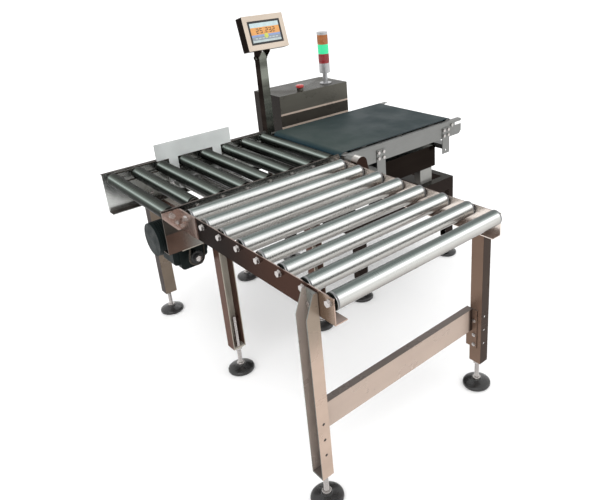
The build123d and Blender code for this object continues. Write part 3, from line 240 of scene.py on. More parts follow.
class EffectGroups:
    """Shader node groups that several finishes share, each built once."""

    MARK_DETAIL = 3.0
    MARK_SPAN = (0.35, 0.65)
    LINE_DETAIL = 4.0

    def __init__(self) -> None:
        """Builds every group."""
        self.facing = self._facing()
        self.around = self._around()
        self.marks = self._marks()
        self.drawn = self._drawn()

    @staticmethod
    def _start(name: str, inputs: dict[str, object], outputs: dict[str, str]) -> tuple:
        """Makes an empty group with its sockets.

        Args:
            name: Name of the group.
            inputs: Default value of each input by name; a colour or a number.
            outputs: Socket type of each output by name.

        Returns:
            The wiring, the group's input node and its output node.
        """
        tree = bpy.data.node_groups.new(name, "ShaderNodeTree")
        for label, value in inputs.items():
            kind = "NodeSocketFloat" if isinstance(value, float) else "NodeSocketColor"
            socket = tree.interface.new_socket(name=label, in_out="INPUT", socket_type=kind)
            socket.default_value = value
        for label, kind in outputs.items():
            tree.interface.new_socket(name=label, in_out="OUTPUT", socket_type=kind)
        wiring = Wiring(tree)
        return wiring, wiring.add("NodeGroupInput"), wiring.add("NodeGroupOutput")

    def _facing(self) -> bpy.types.NodeTree:
        """Painted reflection and shade of polished sheet, a tint by the way each face points, as
        the room's light falls on it.

        Returns:
            The group.
        """
        grey = (0.5, 0.5, 0.5, 1.0)
        wiring, given, result = self._start(
            "sheet tint by facing",
            {"Top": grey, "Front": grey, "Side": grey, "Under": grey},
            {"Color": "NodeSocketColor"},
        )
        normal = wiring.parts("ShaderNodeNewGeometry", "Normal")
        side = wiring.math("MULTIPLY", normal["X"], normal["X"])
        level = wiring.math("MULTIPLY", normal["Z"], normal["Z"])
        upward = wiring.math("GREATER_THAN", normal["Z"], 0.0)
        upright = wiring.math("SUBTRACT", 1.0, level)
        share = wiring.math("DIVIDE", side, wiring.math("MAXIMUM", upright, 0.001))
        flat = wiring.mix(upward, given.outputs["Under"], given.outputs["Top"])
        wall = wiring.mix(share, given.outputs["Front"], given.outputs["Side"])
        wiring.link(wiring.mix(level, wall, flat), result.inputs[0])
        return wiring.tree

    def _around(self) -> bpy.types.NodeTree:
        """Where a point lies round a level tube, 0 under it, 1/3 in front and 1 at its back.

        Returns:
            The group, with one output for tubes along X and one for tubes along Y.
        """
        wiring, _, result = self._start(
            "place round a tube", {}, {"X": "NodeSocketFloat", "Y": "NodeSocketFloat"}
        )
        normal = wiring.parts("ShaderNodeNewGeometry", "Normal")
        for label, across in (("X", "Y"), ("Y", "X")):
            forward = wiring.math("MULTIPLY", normal[across], -1.0)
            angle = wiring.math("ARCTAN2", normal["Z"], forward)
            turn = wiring.add("ShaderNodeMapRange")
            wiring.fill(turn, Value=angle, From_Min=-pi / 2, From_Max=pi)
            wiring.link(turn.outputs[0], result.inputs[label])
        return wiring.tree

    def _marks(self) -> bpy.types.NodeTree:
        """Soft clouds and small marks of a handled surface, and level bands that polished sheet
        shows as painted reflection bands and as its waviness.

        Returns:
            The group, with a cloud mask, a band mask and a fine grain mask.
        """
        wiring, given, result = self._start(
            "handling marks",
            {"Cloud scale": 4.0, "Band scale": 6.0, "Grain scale": 300.0},
            {"Cloud": "NodeSocketFloat", "Band": "NodeSocketFloat", "Grain": "NodeSocketFloat"},
        )
        place = wiring.add("ShaderNodeTexCoord")
        for label, stretch in (
            ("Cloud", (1.0, 1.0, 1.0)),
            # Band: level bands for the painted reflection bands of polished sheet.
            ("Band", (0.25, 0.25, 1.6)),
            ("Grain", (1.0, 1.0, 1.0)),
        ):
            mapping = wiring.add("ShaderNodeMapping")
            wiring.fill(mapping, Vector=place.outputs["Object"], Scale=stretch)
            noise = wiring.add("ShaderNodeTexNoise")
            scale = given.outputs[f"{label} scale"]
            wiring.fill(noise, Vector=mapping.outputs[0], Scale=scale, Detail=self.MARK_DETAIL)
            ramp = wiring.add("ShaderNodeMapRange")
            low, high = self.MARK_SPAN
            wiring.fill(ramp, Value=noise.outputs[0], From_Min=low, From_Max=high)
            wiring.link(ramp.outputs[0], result.inputs[label])
        return wiring.tree

    def _drawn(self) -> bpy.types.NodeTree:
        """Fine parallel lines left by drawing or brushing, along one axis.

        Returns:
            The group, with a line mask.
        """
        wiring, given, result = self._start(
            "drawn lines",
            {"Across X": 900.0, "Across Y": 900.0, "Across Z": 900.0},
            {"Lines": "NodeSocketFloat"},
        )
        place = wiring.add("ShaderNodeTexCoord")
        joined = wiring.add("ShaderNodeCombineXYZ")
        for i, label in enumerate(("Across X", "Across Y", "Across Z")):
            wiring.link(given.outputs[label], joined.inputs[i])
        scaled = wiring.add("ShaderNodeVectorMath", operation="MULTIPLY")
        wiring.link(place.outputs["Object"], scaled.inputs[0])
        wiring.link(joined.outputs[0], scaled.inputs[1])
        noise = wiring.add("ShaderNodeTexNoise")
        wiring.fill(noise, Vector=scaled.outputs[0], Scale=1.0, Detail=self.LINE_DETAIL)
        wiring.link(noise.outputs[0], result.inputs["Lines"])
        return wiring.tree


EFFECTS = EffectGroups()


def start_material(name: str) -> tuple[bpy.types.Material, Wiring, bpy.types.Node]:
    """Makes a material that holds only its shader and output.

    Args:
        name: Name of the material.

    Returns:
        The material, its wiring and its Principled shader.
    """
    material = bpy.data.materials.new(name)
    material.use_nodes = True
    material.node_tree.nodes.clear()
    wiring = Wiring(material.node_tree)
    output = wiring.add("ShaderNodeOutputMaterial")
    shader = wiring.add("ShaderNodeBsdfPrincipled")
    wiring.link(shader.outputs[0], output.inputs[0])
    return material, wiring, shader


def place_group(wiring: Wiring, tree: bpy.types.NodeTree, **values: object) -> bpy.types.Node:
    """Puts a shared effect into a material.

    Args:
        wiring: Wiring of the material.
        tree: The effect's node group.
        **values: Outputs and constants, with underscores for the spaces in the names.

    Returns:
        The group node.
    """
    node = wiring.add("ShaderNodeGroup", node_tree=tree)
    wiring.fill(node, **values)
    return node


def marks_and_reflection_bands(
    wiring: Wiring, cloud: float, band: float, grain: float
) -> bpy.types.bpy_prop_collection:
    """Puts the marks of handling, and the bands of painted reflection, into a material.

    Args:
        wiring: Wiring of the material.
        cloud: Scale of the clouds.
        band: Scale of the bands.
        grain: Scale of the fine grain.

    Returns:
        The masks' outputs, by the names Cloud, Band and Grain.
    """
    scales = {"Cloud_scale": cloud, "Band_scale": band, "Grain_scale": grain}
    return place_group(wiring, EFFECTS.marks, **scales).outputs


def drawn_lines(wiring: Wiring, across: Point) -> bpy.types.NodeSocket:
    """Puts drawn lines into a material.

    Args:
        wiring: Wiring of the material.
        across: How close the lines are across each axis.

    Returns:
        The line mask's output.
    """
    x, y, z = across
    return place_group(wiring, EFFECTS.drawn, Across_X=x, Across_Y=y, Across_Z=z).outputs[0]


def add_bump(
    wiring: Wiring, shader: bpy.types.Node, height: bpy.types.NodeSocket, depth: float
) -> None:
    """Gives a shader a bump.

    Args:
        wiring: Wiring of the material.
        shader: The Principled shader.
        height: Output that holds the height.
        depth: Depth of the relief in metres.
    """
    bump = wiring.add("ShaderNodeBump")
    wiring.fill(bump, Strength=BUMP_STRENGTH, Distance=depth, Height=height)
    wiring.link(bump.outputs[0], shader.inputs["Normal"])


@dataclass(frozen=True)
class Fade:
    """Painted reflection and shade that change the tint along one axis of the machine."""

    axis: Axis
    start: float
    stop: float
    front: Shade
    side: Shade

    def blend(self, wiring: Wiring, front: object, side: object) -> tuple:
        """Mixes the tints of the low end with this fade's own, which the high end shows.

        Args:
            wiring: Wiring of the material.
            front: Socket or colour of the low end's front faces.
            side: Socket or colour of the low end's side faces.

        Returns:
            The outputs for front faces and for side faces.
        """
        place = wiring.parts("ShaderNodeTexCoord", "Object")
        share = wiring.rise(place[self.axis.name], self.start, self.stop)
        return (
            wiring.mix(share, front, paint(*self.front)),
            wiring.mix(share, side, paint(*self.side)),
        )


@dataclass(frozen=True)
class PolishedSheet:
    """Mirror polished stainless sheet, with the reflections and shade that its room gives it
    painted in as tints.
    """

    # Painted reflection and shade: a tint for faces that point up, to the front, to the side and
    # down.
    top: Shade
    front: Shade
    side: Shade
    under: Shade
    # band and band_scale set the painted reflection bands; fades add painted reflection and shade
    # along the machine.
    band: float = 0.3
    roughness: float = 0.2
    band_scale: float = 5.0
    metallic: float = 0.92
    fades: tuple[Fade, ...] = ()

    # Darker and lighter copies of the tint that the painted reflection bands show.
    DARK_REFLECTION_BAND = (0.48, 0.46, 0.45, 1.0)
    LIGHT_REFLECTION_BAND = (1.34, 1.33, 1.31, 1.0)
    GRAZING_TINT = (0.5, 0.5, 0.5, 1.0)
    SHINE = 0.12
    CLOUDING = 0.18
    ROLLED = (40.0, 40.0, 1500.0)
    WAVES = 0.0002

    def material(self, name: str) -> bpy.types.Material:
        """Builds the material, with painted reflection bands, clouds and fine rolling lines.

        Args:
            name: Name of the material.

        Returns:
            The material.
        """
        made, wiring, shader = start_material(name)
        front, side = paint(*self.front), paint(*self.side)
        # Fades paint reflection and shade that change along the machine.
        for fade in self.fades:
            front, side = fade.blend(wiring, front, side)
        top, under = paint(*self.top), paint(*self.under)
        # Painted reflection and shade by the way each face points.
        sheet = place_group(wiring, EFFECTS.facing, Top=top, Front=front, Side=side, Under=under)
        tint = sheet.outputs[0]
        marks = marks_and_reflection_bands(wiring, 9.0, self.band_scale, 420.0)
        lines = drawn_lines(wiring, self.ROLLED)
        # Painted reflection bands between a darker and a lighter copy of the tint; clouds lighten
        # it at random.
        dark = wiring.multiply(tint, self.DARK_REFLECTION_BAND)
        light = wiring.multiply(tint, self.LIGHT_REFLECTION_BAND)
        base = wiring.mix(self.band, tint, wiring.mix(marks["Band"], dark, light))
        clouded = wiring.mix(wiring.spread(marks["Cloud"], 0.0, self.CLOUDING), base, light)
        rough = wiring.math(
            "ADD",
            wiring.spread(marks["Cloud"], self.roughness * 0.8, self.roughness * 1.3),
            wiring.spread(lines, 0.0, 0.06),
        )
        wiring.fill(shader, Base_Color=clouded, Roughness=rough, Metallic=self.metallic)
        wiring.fill(shader, Specular_IOR_Level=self.SHINE, Specular_Tint=self.GRAZING_TINT)
        add_bump(wiring, shader, marks["Band"], self.WAVES)
        return made


@dataclass(frozen=True)
class SatinMetal:
    """Brushed or machined metal with fine lines along one axis."""

    colour: Shade
    shade: Shade
    across: Point = (900.0, 900.0, 900.0)
    roughness: float = 0.32

    METALLIC = 0.9
    RELIEF = 0.00008

    def material(self, name: str) -> bpy.types.Material:
        """Builds the material, with drawn lines and soft stains.

        Args:
            name: Name of the material.

        Returns:
            The material.
        """
        made, wiring, shader = start_material(name)
        colour, shade = paint(*self.colour), paint(*self.shade)
        marks = marks_and_reflection_bands(wiring, 14.0, 12.0, 700.0)
        lines = drawn_lines(wiring, self.across)
        streaked = wiring.mix(wiring.spread(lines, 0.0, 0.9), shade, colour)
        stained = wiring.mix(wiring.spread(marks["Cloud"], 0.0, 0.3), streaked, shade)
        rough = wiring.math(
            "ADD",
            wiring.spread(lines, self.roughness * 0.7, self.roughness * 1.3),
            wiring.spread(marks["Grain"], 0.0, 0.05),
        )
        wiring.fill(shader, Base_Color=stained, Roughness=rough, Metallic=self.METALLIC)
        add_bump(wiring, shader, lines, self.RELIEF)
        return made


@dataclass(frozen=True)
class RollerSteel:
    """Plated roller tube with a painted highlight along it, and painted shade on the flanks that
    darken from there.

    The profile gives the painted highlight and shade for each angle round the tube, in degrees
    from its front.
    """

    along: Axis
    profile: tuple[tuple[float, Shade], ...]
    roughness: float = 0.22
    worn: float = 0.12
    ring_step: float = 1400.0
    ring_depth: float = 0.1
    rim: float = 1.0

    # Angles in degrees where the profile starts, and how far it reaches from there.
    UNDERSIDE = -90.0
    REACH = 270.0
    STRIPE_STEP = 260.0
    ALONG_STEPS = (1.5, 30.0)
    DULL = (0.5, 0.5, 0.49, 1.0)
    METALLIC = 0.8
    SHINE = 0.3
    RELIEF = 0.00006

    def tone(self, wiring: Wiring) -> bpy.types.NodeSocket:
        """Painted highlight and shade by the place round the tube.

        Args:
            wiring: Wiring of the material.

        Returns:
            The colour's output.
        """
        around = place_group(wiring, EFFECTS.around)
        ramp = wiring.add("ShaderNodeValToRGB")
        stops = ramp.color_ramp.elements
        while len(stops) < len(self.profile):
            stops.new(0.5)
        for stop, (degrees, shade) in zip(stops, self.profile):
            stop.position = (degrees - self.UNDERSIDE) / self.REACH
            stop.color = paint(*shade)
        wiring.link(around.outputs[self.along.name], ramp.inputs[0])
        return ramp.outputs[0]

    def material(self, name: str) -> bpy.types.Material:
        """Builds the material, with turning rings and worn stripes along the tube.

        Args:
            name: Name of the material.

        Returns:
            The material.
        """
        made, wiring, shader = start_material(name)
        # Painted highlight and shade round the tube, under the rings, worn stripes and stains.
        tone = self.tone(wiring)
        ring, stripe = self.ring_step, self.STRIPE_STEP
        streak, arc = self.ALONG_STEPS
        if self.along is Axis.X:
            rings, stripes = (ring, arc, arc), (streak, stripe, stripe)
        else:
            rings, stripes = (arc, ring, arc), (stripe, streak, stripe)
        dull = wiring.multiply(tone, self.DULL)
        turned = drawn_lines(wiring, rings)
        worn = drawn_lines(wiring, stripes)
        marks = marks_and_reflection_bands(wiring, 12.0, 9.0, 800.0)
        striped = wiring.mix(wiring.spread(worn, 0.0, self.worn), tone, dull)
        ringed = wiring.mix(wiring.spread(turned, 0.0, self.ring_depth), striped, dull)
        stained = wiring.mix(wiring.spread(marks["Cloud"], 0.0, 0.1), ringed, dull)
        rough = wiring.math(
            "ADD",
            wiring.spread(turned, self.roughness * 0.7, self.roughness * 1.3),
            wiring.spread(marks["Cloud"], 0.0, 0.08),
        )
        wiring.fill(shader, Base_Color=stained, Roughness=rough, Metallic=self.METALLIC)
        edge = (self.rim, self.rim, self.rim, 1.0)
        wiring.fill(shader, Specular_IOR_Level=self.SHINE, Specular_Tint=edge)
        add_bump(wiring, shader, turned, self.RELIEF)
        return made


@dataclass(frozen=True)
class Coating:
    """Paint, moulded plastic or rubber with an uneven, slightly dusty surface."""

    colour: Shade
    dusty: Shade
    roughness: float = 0.4
    dust: float = 0.3
    relief: float = 0.0001
    coat: float = 0.0
    shine: float = 0.5

    def material(self, name: str) -> bpy.types.Material:
        """Builds the material, with dust clouds and a fine moulded grain.

        Args:
            name: Name of the material.

        Returns:
            The material.
        """
        made, wiring, shader = start_material(name)
        marks = marks_and_reflection_bands(wiring, 22.0, 10.0, 900.0)
        dust = wiring.spread(marks["Cloud"], 0.0, self.dust)
        dusted = wiring.mix(dust, paint(*self.colour), paint(*self.dusty))
        rough = wiring.spread(marks["Cloud"], self.roughness * 0.85, self.roughness * 1.25)
        wiring.fill(shader, Base_Color=dusted, Roughness=rough)
        wiring.fill(shader, Coat_Weight=self.coat, Specular_IOR_Level=self.shine)
        add_bump(wiring, shader, marks["Grain"], self.relief)
        return made


@dataclass(frozen=True)
class BeltSkin:
    """Smooth dark green conveyor belt, with a painted sheen that pales it towards its low end and
    painted shade where it bends away from the top.
    """

    sheen_end: Shade
    far_end: Shade
    curve_shade: Shade
    start: float
    length: float

    SHINE = 0.1
    RELIEF = 0.00005

    def material(self, name: str) -> bpy.types.Material:
        """Builds the material, with a painted sheen that fades along it, faint rubbed lanes and
        painted shade where it bends.

        Args:
            name: Name of the material.

        Returns:
            The material.
        """
        made, wiring, shader = start_material(name)
        sheen_end = paint(*self.sheen_end)
        place = wiring.parts("ShaderNodeTexCoord", "Object")
        # Painted sheen, palest at the low end and fading along X.
        sheen_run = wiring.rise(place["X"], self.start, self.start + self.length)
        marks = marks_and_reflection_bands(wiring, 7.0, 5.0, 1500.0)
        lanes = drawn_lines(wiring, (2.0, 60.0, 60.0))
        tone = wiring.mix(sheen_run, sheen_end, paint(*self.far_end))
        rubbed = wiring.mix(wiring.spread(lanes, 0.0, 0.10), tone, sheen_end)
        # Painted shade where the belt bends away from the top.
        flat = place_group(wiring, EFFECTS.facing, Top=WHITE, Front=BLACK, Side=BLACK, Under=BLACK)
        curve_shaded = wiring.mix(flat.outputs[0], paint(*self.curve_shade), rubbed)
        rough = wiring.spread(marks["Cloud"], 0.42, 0.58)
        wiring.fill(shader, Base_Color=curve_shaded, Roughness=rough, Specular_IOR_Level=self.SHINE)
        add_bump(wiring, shader, marks["Grain"], self.RELIEF)
        return made


@dataclass(frozen=True)
class Glow:
    """Lens or display colour that gives off its own light."""

    colour: Shade
    light: Shade
    strength: float
    ribbed: bool = False

    DEEPER = 0.7
    ROUGHNESS = 0.25
    COAT = 0.4
    RELIEF = 0.0001

    def material(self, name: str) -> bpy.types.Material:
        """Builds the material, with faint mottling and a fine relief where asked for.

        Args:
            name: Name of the material.

        Returns:
            The material.
        """
        made, wiring, shader = start_material(name)
        marks = marks_and_reflection_bands(wiring, 60.0, 30.0, 1200.0)
        colour = paint(*self.colour)
        deep = (*(share * self.DEEPER for share in colour[:3]), 1.0)
        mottled = wiring.mix(wiring.spread(marks["Cloud"], 0.0, 0.5), colour, deep)
        light = paint(*self.light)
        wiring.fill(shader, Base_Color=mottled, Roughness=self.ROUGHNESS, Coat_Weight=self.COAT)
        wiring.fill(shader, Emission_Color=light, Emission_Strength=self.strength)
        if self.ribbed:
            add_bump(wiring, shader, marks["Grain"], self.RELIEF)
        return made


@unique
class Finish(Enum):
    """Every finish on the machine.

    A finish named after a material slot of the record shows on every node of that slot that
    has no finish of its own. Polished sheet lists the painted reflection and shade tints of its
    top, front, side and under faces, and its fades paint reflection and shade along the machine.
    """

    # Polished sheets, from here to GUARD_SHEET, carry painted reflections and painted shade in
    # their tints, bands and fades.
    RAIL_SHEET = PolishedSheet(
        (100, 93, 89), (88, 71, 63), (112, 104, 98), (84, 74, 68), band=0.12,
        fades=(
            Fade(Axis.Z, 0.629, 0.633, (60, 56, 52), (112, 104, 98)),
            Fade(Axis.Y, 0.05, 0.2, (184, 186, 184), (150, 148, 144)),
            Fade(Axis.X, -0.71, -0.6, (138, 140, 136), (150, 148, 144)),
        ),
    )
    REJECT_SHEET = PolishedSheet(
        (146, 132, 126), (176, 154, 142), (150, 133, 120), (90, 76, 70), band=0.15,
        fades=(
            Fade(Axis.Y, -0.775, -0.765, (176, 154, 142), (68, 49, 42)),
            Fade(Axis.Y, -0.62, -0.25, (176, 154, 142), (36, 30, 28)),
            Fade(Axis.Y, -0.1325, -0.1305, (172, 153, 145), (174, 156, 148)),
            Fade(Axis.X, -0.6, -0.4, (222, 214, 206), (222, 212, 204)),
        ),
    )
    REJECT_LEGS = PolishedSheet(
        (112, 104, 100), (180, 160, 146), (98, 101, 98), (110, 94, 86), band=0.15, roughness=0.28,
        metallic=0.4,
        fades=(
            Fade(Axis.Z, 0.48, 0.62, (142, 129, 116), (118, 121, 118)),
            Fade(Axis.Y, -0.735, -0.725, (170, 158, 150), (132, 133, 127)),
            Fade(Axis.X, -0.05, -0.035, (60, 49, 43), (118, 97, 84)),
        ),
    )
    MAIN_LEGS = PolishedSheet(
        (190, 184, 176), (166, 161, 150), (92, 66, 56), (84, 72, 66), band=0.2, roughness=0.28,
        metallic=0.4,
        fades=(Fade(Axis.Y, 0.3, 0.5, (122, 110, 98), (44, 30, 26)),),
    )
    STAND_SHEET = PolishedSheet(
        (56, 54, 50), (34, 27, 24), (46, 38, 34), (40, 34, 31), band=0.35, metallic=0.6,
        fades=(Fade(Axis.Z, 0.426, 0.43, (142, 142, 139), (92, 90, 87)),),
    )
    COLUMN_SHEET = PolishedSheet(
        (190, 186, 180), (110, 113, 106), (34, 28, 25), (60, 52, 48), band=0.9, band_scale=12.0,
    )
    PANEL_SHEET = PolishedSheet(
        (190, 180, 170), (190, 177, 163), (26, 20, 18), (60, 50, 44), band=0.15, roughness=0.3,
    )
    PUSHER_SHEET = PolishedSheet(
        (150, 152, 150), (232, 236, 235), (120, 122, 120), (110, 112, 110), band=0.12,
        roughness=0.4, metallic=0.5,
    )
    # Its thin fades paint two pale reflected strips across the cabinet's front.
    CABINET_SHEET = PolishedSheet(
        (72, 70, 65), (64, 61, 56), (36, 31, 28), (46, 42, 38), band=0.25, roughness=0.26,
        metallic=0.35,
        fades=(
            Fade(Axis.Z, 0.678, 0.680, (206, 188, 174), (36, 31, 28)),
            Fade(Axis.Z, 0.690, 0.692, (64, 61, 56), (36, 31, 28)),
            Fade(Axis.Z, 0.745, 0.747, (206, 188, 174), (36, 31, 28)),
            Fade(Axis.Z, 0.754, 0.756, (96, 94, 87), (36, 31, 28)),
        ),
    )
    DOOR_SHEET = PolishedSheet(
        (72, 70, 65), (84, 82, 75), (36, 31, 28), (46, 42, 38), band=0.25, roughness=0.26,
        metallic=0.5,
    )
    MIRROR_STAINLESS = PolishedSheet(
        (96, 96, 91), (26, 21, 18), (36, 29, 26), (40, 34, 31), band=0.6, roughness=0.14,
        band_scale=7.0,
    )
    GUARD_SHEET = PolishedSheet(
        (200, 198, 194), (42, 30, 26), (96, 84, 78), (60, 50, 46), band=0.2, roughness=0.16,
    )
    BELT_PLATE = SatinMetal((136, 137, 135), (112, 112, 110), (60.0, 900.0, 1200.0), 0.34)
    # Roller profiles paint a highlight and shade round each tube.
    ZINC_ROLLER = RollerSteel(
        Axis.X,
        (
            (-75.0, (68, 63, 59)), (-48.0, (110, 106, 101)), (-20.0, (154, 151, 146)),
            (8.0, (190, 189, 185)), (28.0, (220, 221, 218)), (42.0, (255, 255, 255)),
            (54.0, (184, 191, 188)), (68.0, (110, 119, 116)), (88.0, (84, 92, 89)),
            (106.0, (66, 72, 69)), (122.0, (52, 56, 54)),
        ),
    )
    DARK_ROLLER = RollerSteel(
        Axis.Y,
        (
            (-70.0, (12, 12, 10)), (-40.0, (18, 18, 16)), (-12.0, (32, 34, 31)),
            (14.0, (54, 58, 54)), (30.0, (96, 104, 98)), (40.0, (196, 208, 202)),
            (54.0, (120, 128, 122)), (70.0, (82, 86, 81)), (92.0, (58, 60, 56)),
            (112.0, (36, 37, 34)),
        ),
        roughness=0.26, worn=0.25, ring_step=420.0, ring_depth=0.55, rim=0.4,
    )
    SEAM_GREY = Coating((104, 104, 106), (84, 84, 86), roughness=0.4, relief=0.00005)
    AXLE_STEEL = SatinMetal((196, 194, 190), (150, 148, 146), (1400.0, 1400.0, 60.0), 0.22)
    CHAIN_STEEL = SatinMetal((92, 86, 78), (52, 48, 44), (700.0, 700.0, 700.0), 0.36)
    BOLT_STEEL = SatinMetal((214, 211, 209), (158, 152, 149), (900.0, 900.0, 900.0), 0.2)
    GEAR_GREEN = Coating((20, 28, 28), (30, 36, 35), roughness=0.5, relief=0.0002, shine=0.1)
    MOTOR_TEAL = Coating((46, 74, 80), (76, 96, 98), roughness=0.4, relief=0.0002)
    ALUMINIUM = SatinMetal((188, 188, 186), (150, 150, 150), (60.0, 1100.0, 1100.0), 0.34)
    # First colour: painted sheen at the low end; third: painted shade of the bends.
    BELT_GREEN = BeltSkin((42, 55, 53), (31, 45, 48), (16, 46, 58), start=0.0, length=0.5)
    FOOT_BLACK = Coating((24, 24, 25), (52, 50, 48), roughness=0.26, dust=0.35, coat=0.3)
    SCREEN = Coating((22, 24, 28), (36, 38, 42), roughness=0.2, dust=0.2, coat=0.5)
    LENS_AMBER = Glow((166, 96, 34), (166, 96, 34), 0.03, ribbed=True)
    LENS_GREEN = Glow((10, 130, 86), (60, 236, 166), 0.7, ribbed=True)
    LENS_RED = Glow((140, 12, 22), (140, 12, 22), 0.05, ribbed=True)
    TOWER_SILVER = SatinMetal((196, 196, 196), (158, 158, 160), (900.0, 900.0, 50.0), 0.3)
    STOP_RED = Coating((176, 24, 20), (150, 30, 26), roughness=0.3, coat=0.4)
    DEVICE_GREY = Coating((150, 152, 150), (120, 122, 122), roughness=0.5)
    DISPLAY_CYAN = Glow((168, 186, 188), (168, 186, 188), 0.3)
    DISPLAY_ORANGE = Glow((196, 136, 66), (196, 136, 66), 0.3)
    DISPLAY_BLUE = Glow((116, 136, 176), (116, 136, 176), 0.25)
    DISPLAY_GREY = Glow((122, 130, 138), (122, 130, 138), 0.2)
    DISPLAY_GREEN = Glow((170, 176, 70), (170, 176, 70), 0.3)
    DISPLAY_PALE = Glow((164, 176, 176), (164, 176, 176), 0.25)
    DISPLAY_INK = Coating((66, 40, 24), (80, 52, 34), roughness=0.3)
    BLACK_PLASTIC = Coating((26, 26, 27), (48, 47, 46), roughness=0.42, relief=0.00015)

    @property
    def slot(self) -> str:
        """Its name, written as the record writes a material slot."""
        return self.name.lower()


SLOT_FINISH = {finish.slot: finish for finish in Finish}
# Nodes that show another finish than their slot's own.
NODE_FINISH = {
    "main_rails": Finish.RAIL_SHEET,
    "gravity_rails": Finish.REJECT_SHEET,
    "gravity_stand": Finish.REJECT_LEGS,
    "main_stand": Finish.MAIN_LEGS,
    "weigh_stand": Finish.STAND_SHEET,
    "hmi_column": Finish.COLUMN_SHEET,
    "hmi_housing": Finish.PANEL_SHEET,
    "pusher_plate": Finish.PUSHER_SHEET,
    "control_cabinet": Finish.CABINET_SHEET,
    "cabinet_door": Finish.DOOR_SHEET,
    "drive_guard": Finish.GUARD_SHEET,
    "drive_sprocket": Finish.BLACK_PLASTIC,
}
PACKED = frame["record"]
NODE_SLOT = {entry["node"]: entry["material_slot"] for entry in PACKED["subparts"]}
NODE_BODY = {
    node: body for body, nodes in PACKED["behaviour"]["bodies"].items() for node in nodes
}


@cache
def material_of(finish: Finish) -> bpy.types.Material:
    """Material of a finish.

    Args:
        finish: The finish wanted.

    Returns:
        Its material, made on the first call and handed out again after that.
    """
    return finish.value.material(finish.slot)


def settle(obj: bpy.types.Object, body: str, finish: Finish) -> None:
    """Gives a new piece its body and its finish.

    Args:
        obj: The piece.
        body: Body that it moves with.
        finish: Finish that it shows.
    """
    bpy.context.scene.collection.objects.link(obj)
    obj.data.materials.clear()
    obj.data.materials.append(material_of(finish))
    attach(obj, body)
    log.info("%s: %d faces, rides on %s", obj.name, len(obj.data.polygons), body)


def spot_of(node: str) -> tuple[Vector, Vector, Vector]:
    """Box of a CAD node.

    Args:
        node: The node.

    Returns:
        Its low corner, its high corner and its middle.
    """
    low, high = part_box(node)
    return low, high, (low + high) / 2


def object_from(name: str, shape: bmesh.types.BMesh, sharp: float) -> bpy.types.Object:
    """Turns a mesh into an object with smooth faces and sharp edges.

    Args:
        name: Name of the object.
        shape: The mesh, which is freed here.
        sharp: Angle in degrees from which an edge stays sharp.

    Returns:
        The object, which isn't in the scene yet.
    """
    bmesh.ops.recalc_face_normals(shape, faces=shape.faces)
    data = bpy.data.meshes.new(name)
    shape.to_mesh(data)
    shape.free()
    data.shade_smooth()
    data.set_sharp_from_angle(angle=radians(sharp))
    return bpy.data.objects.new(name, data)


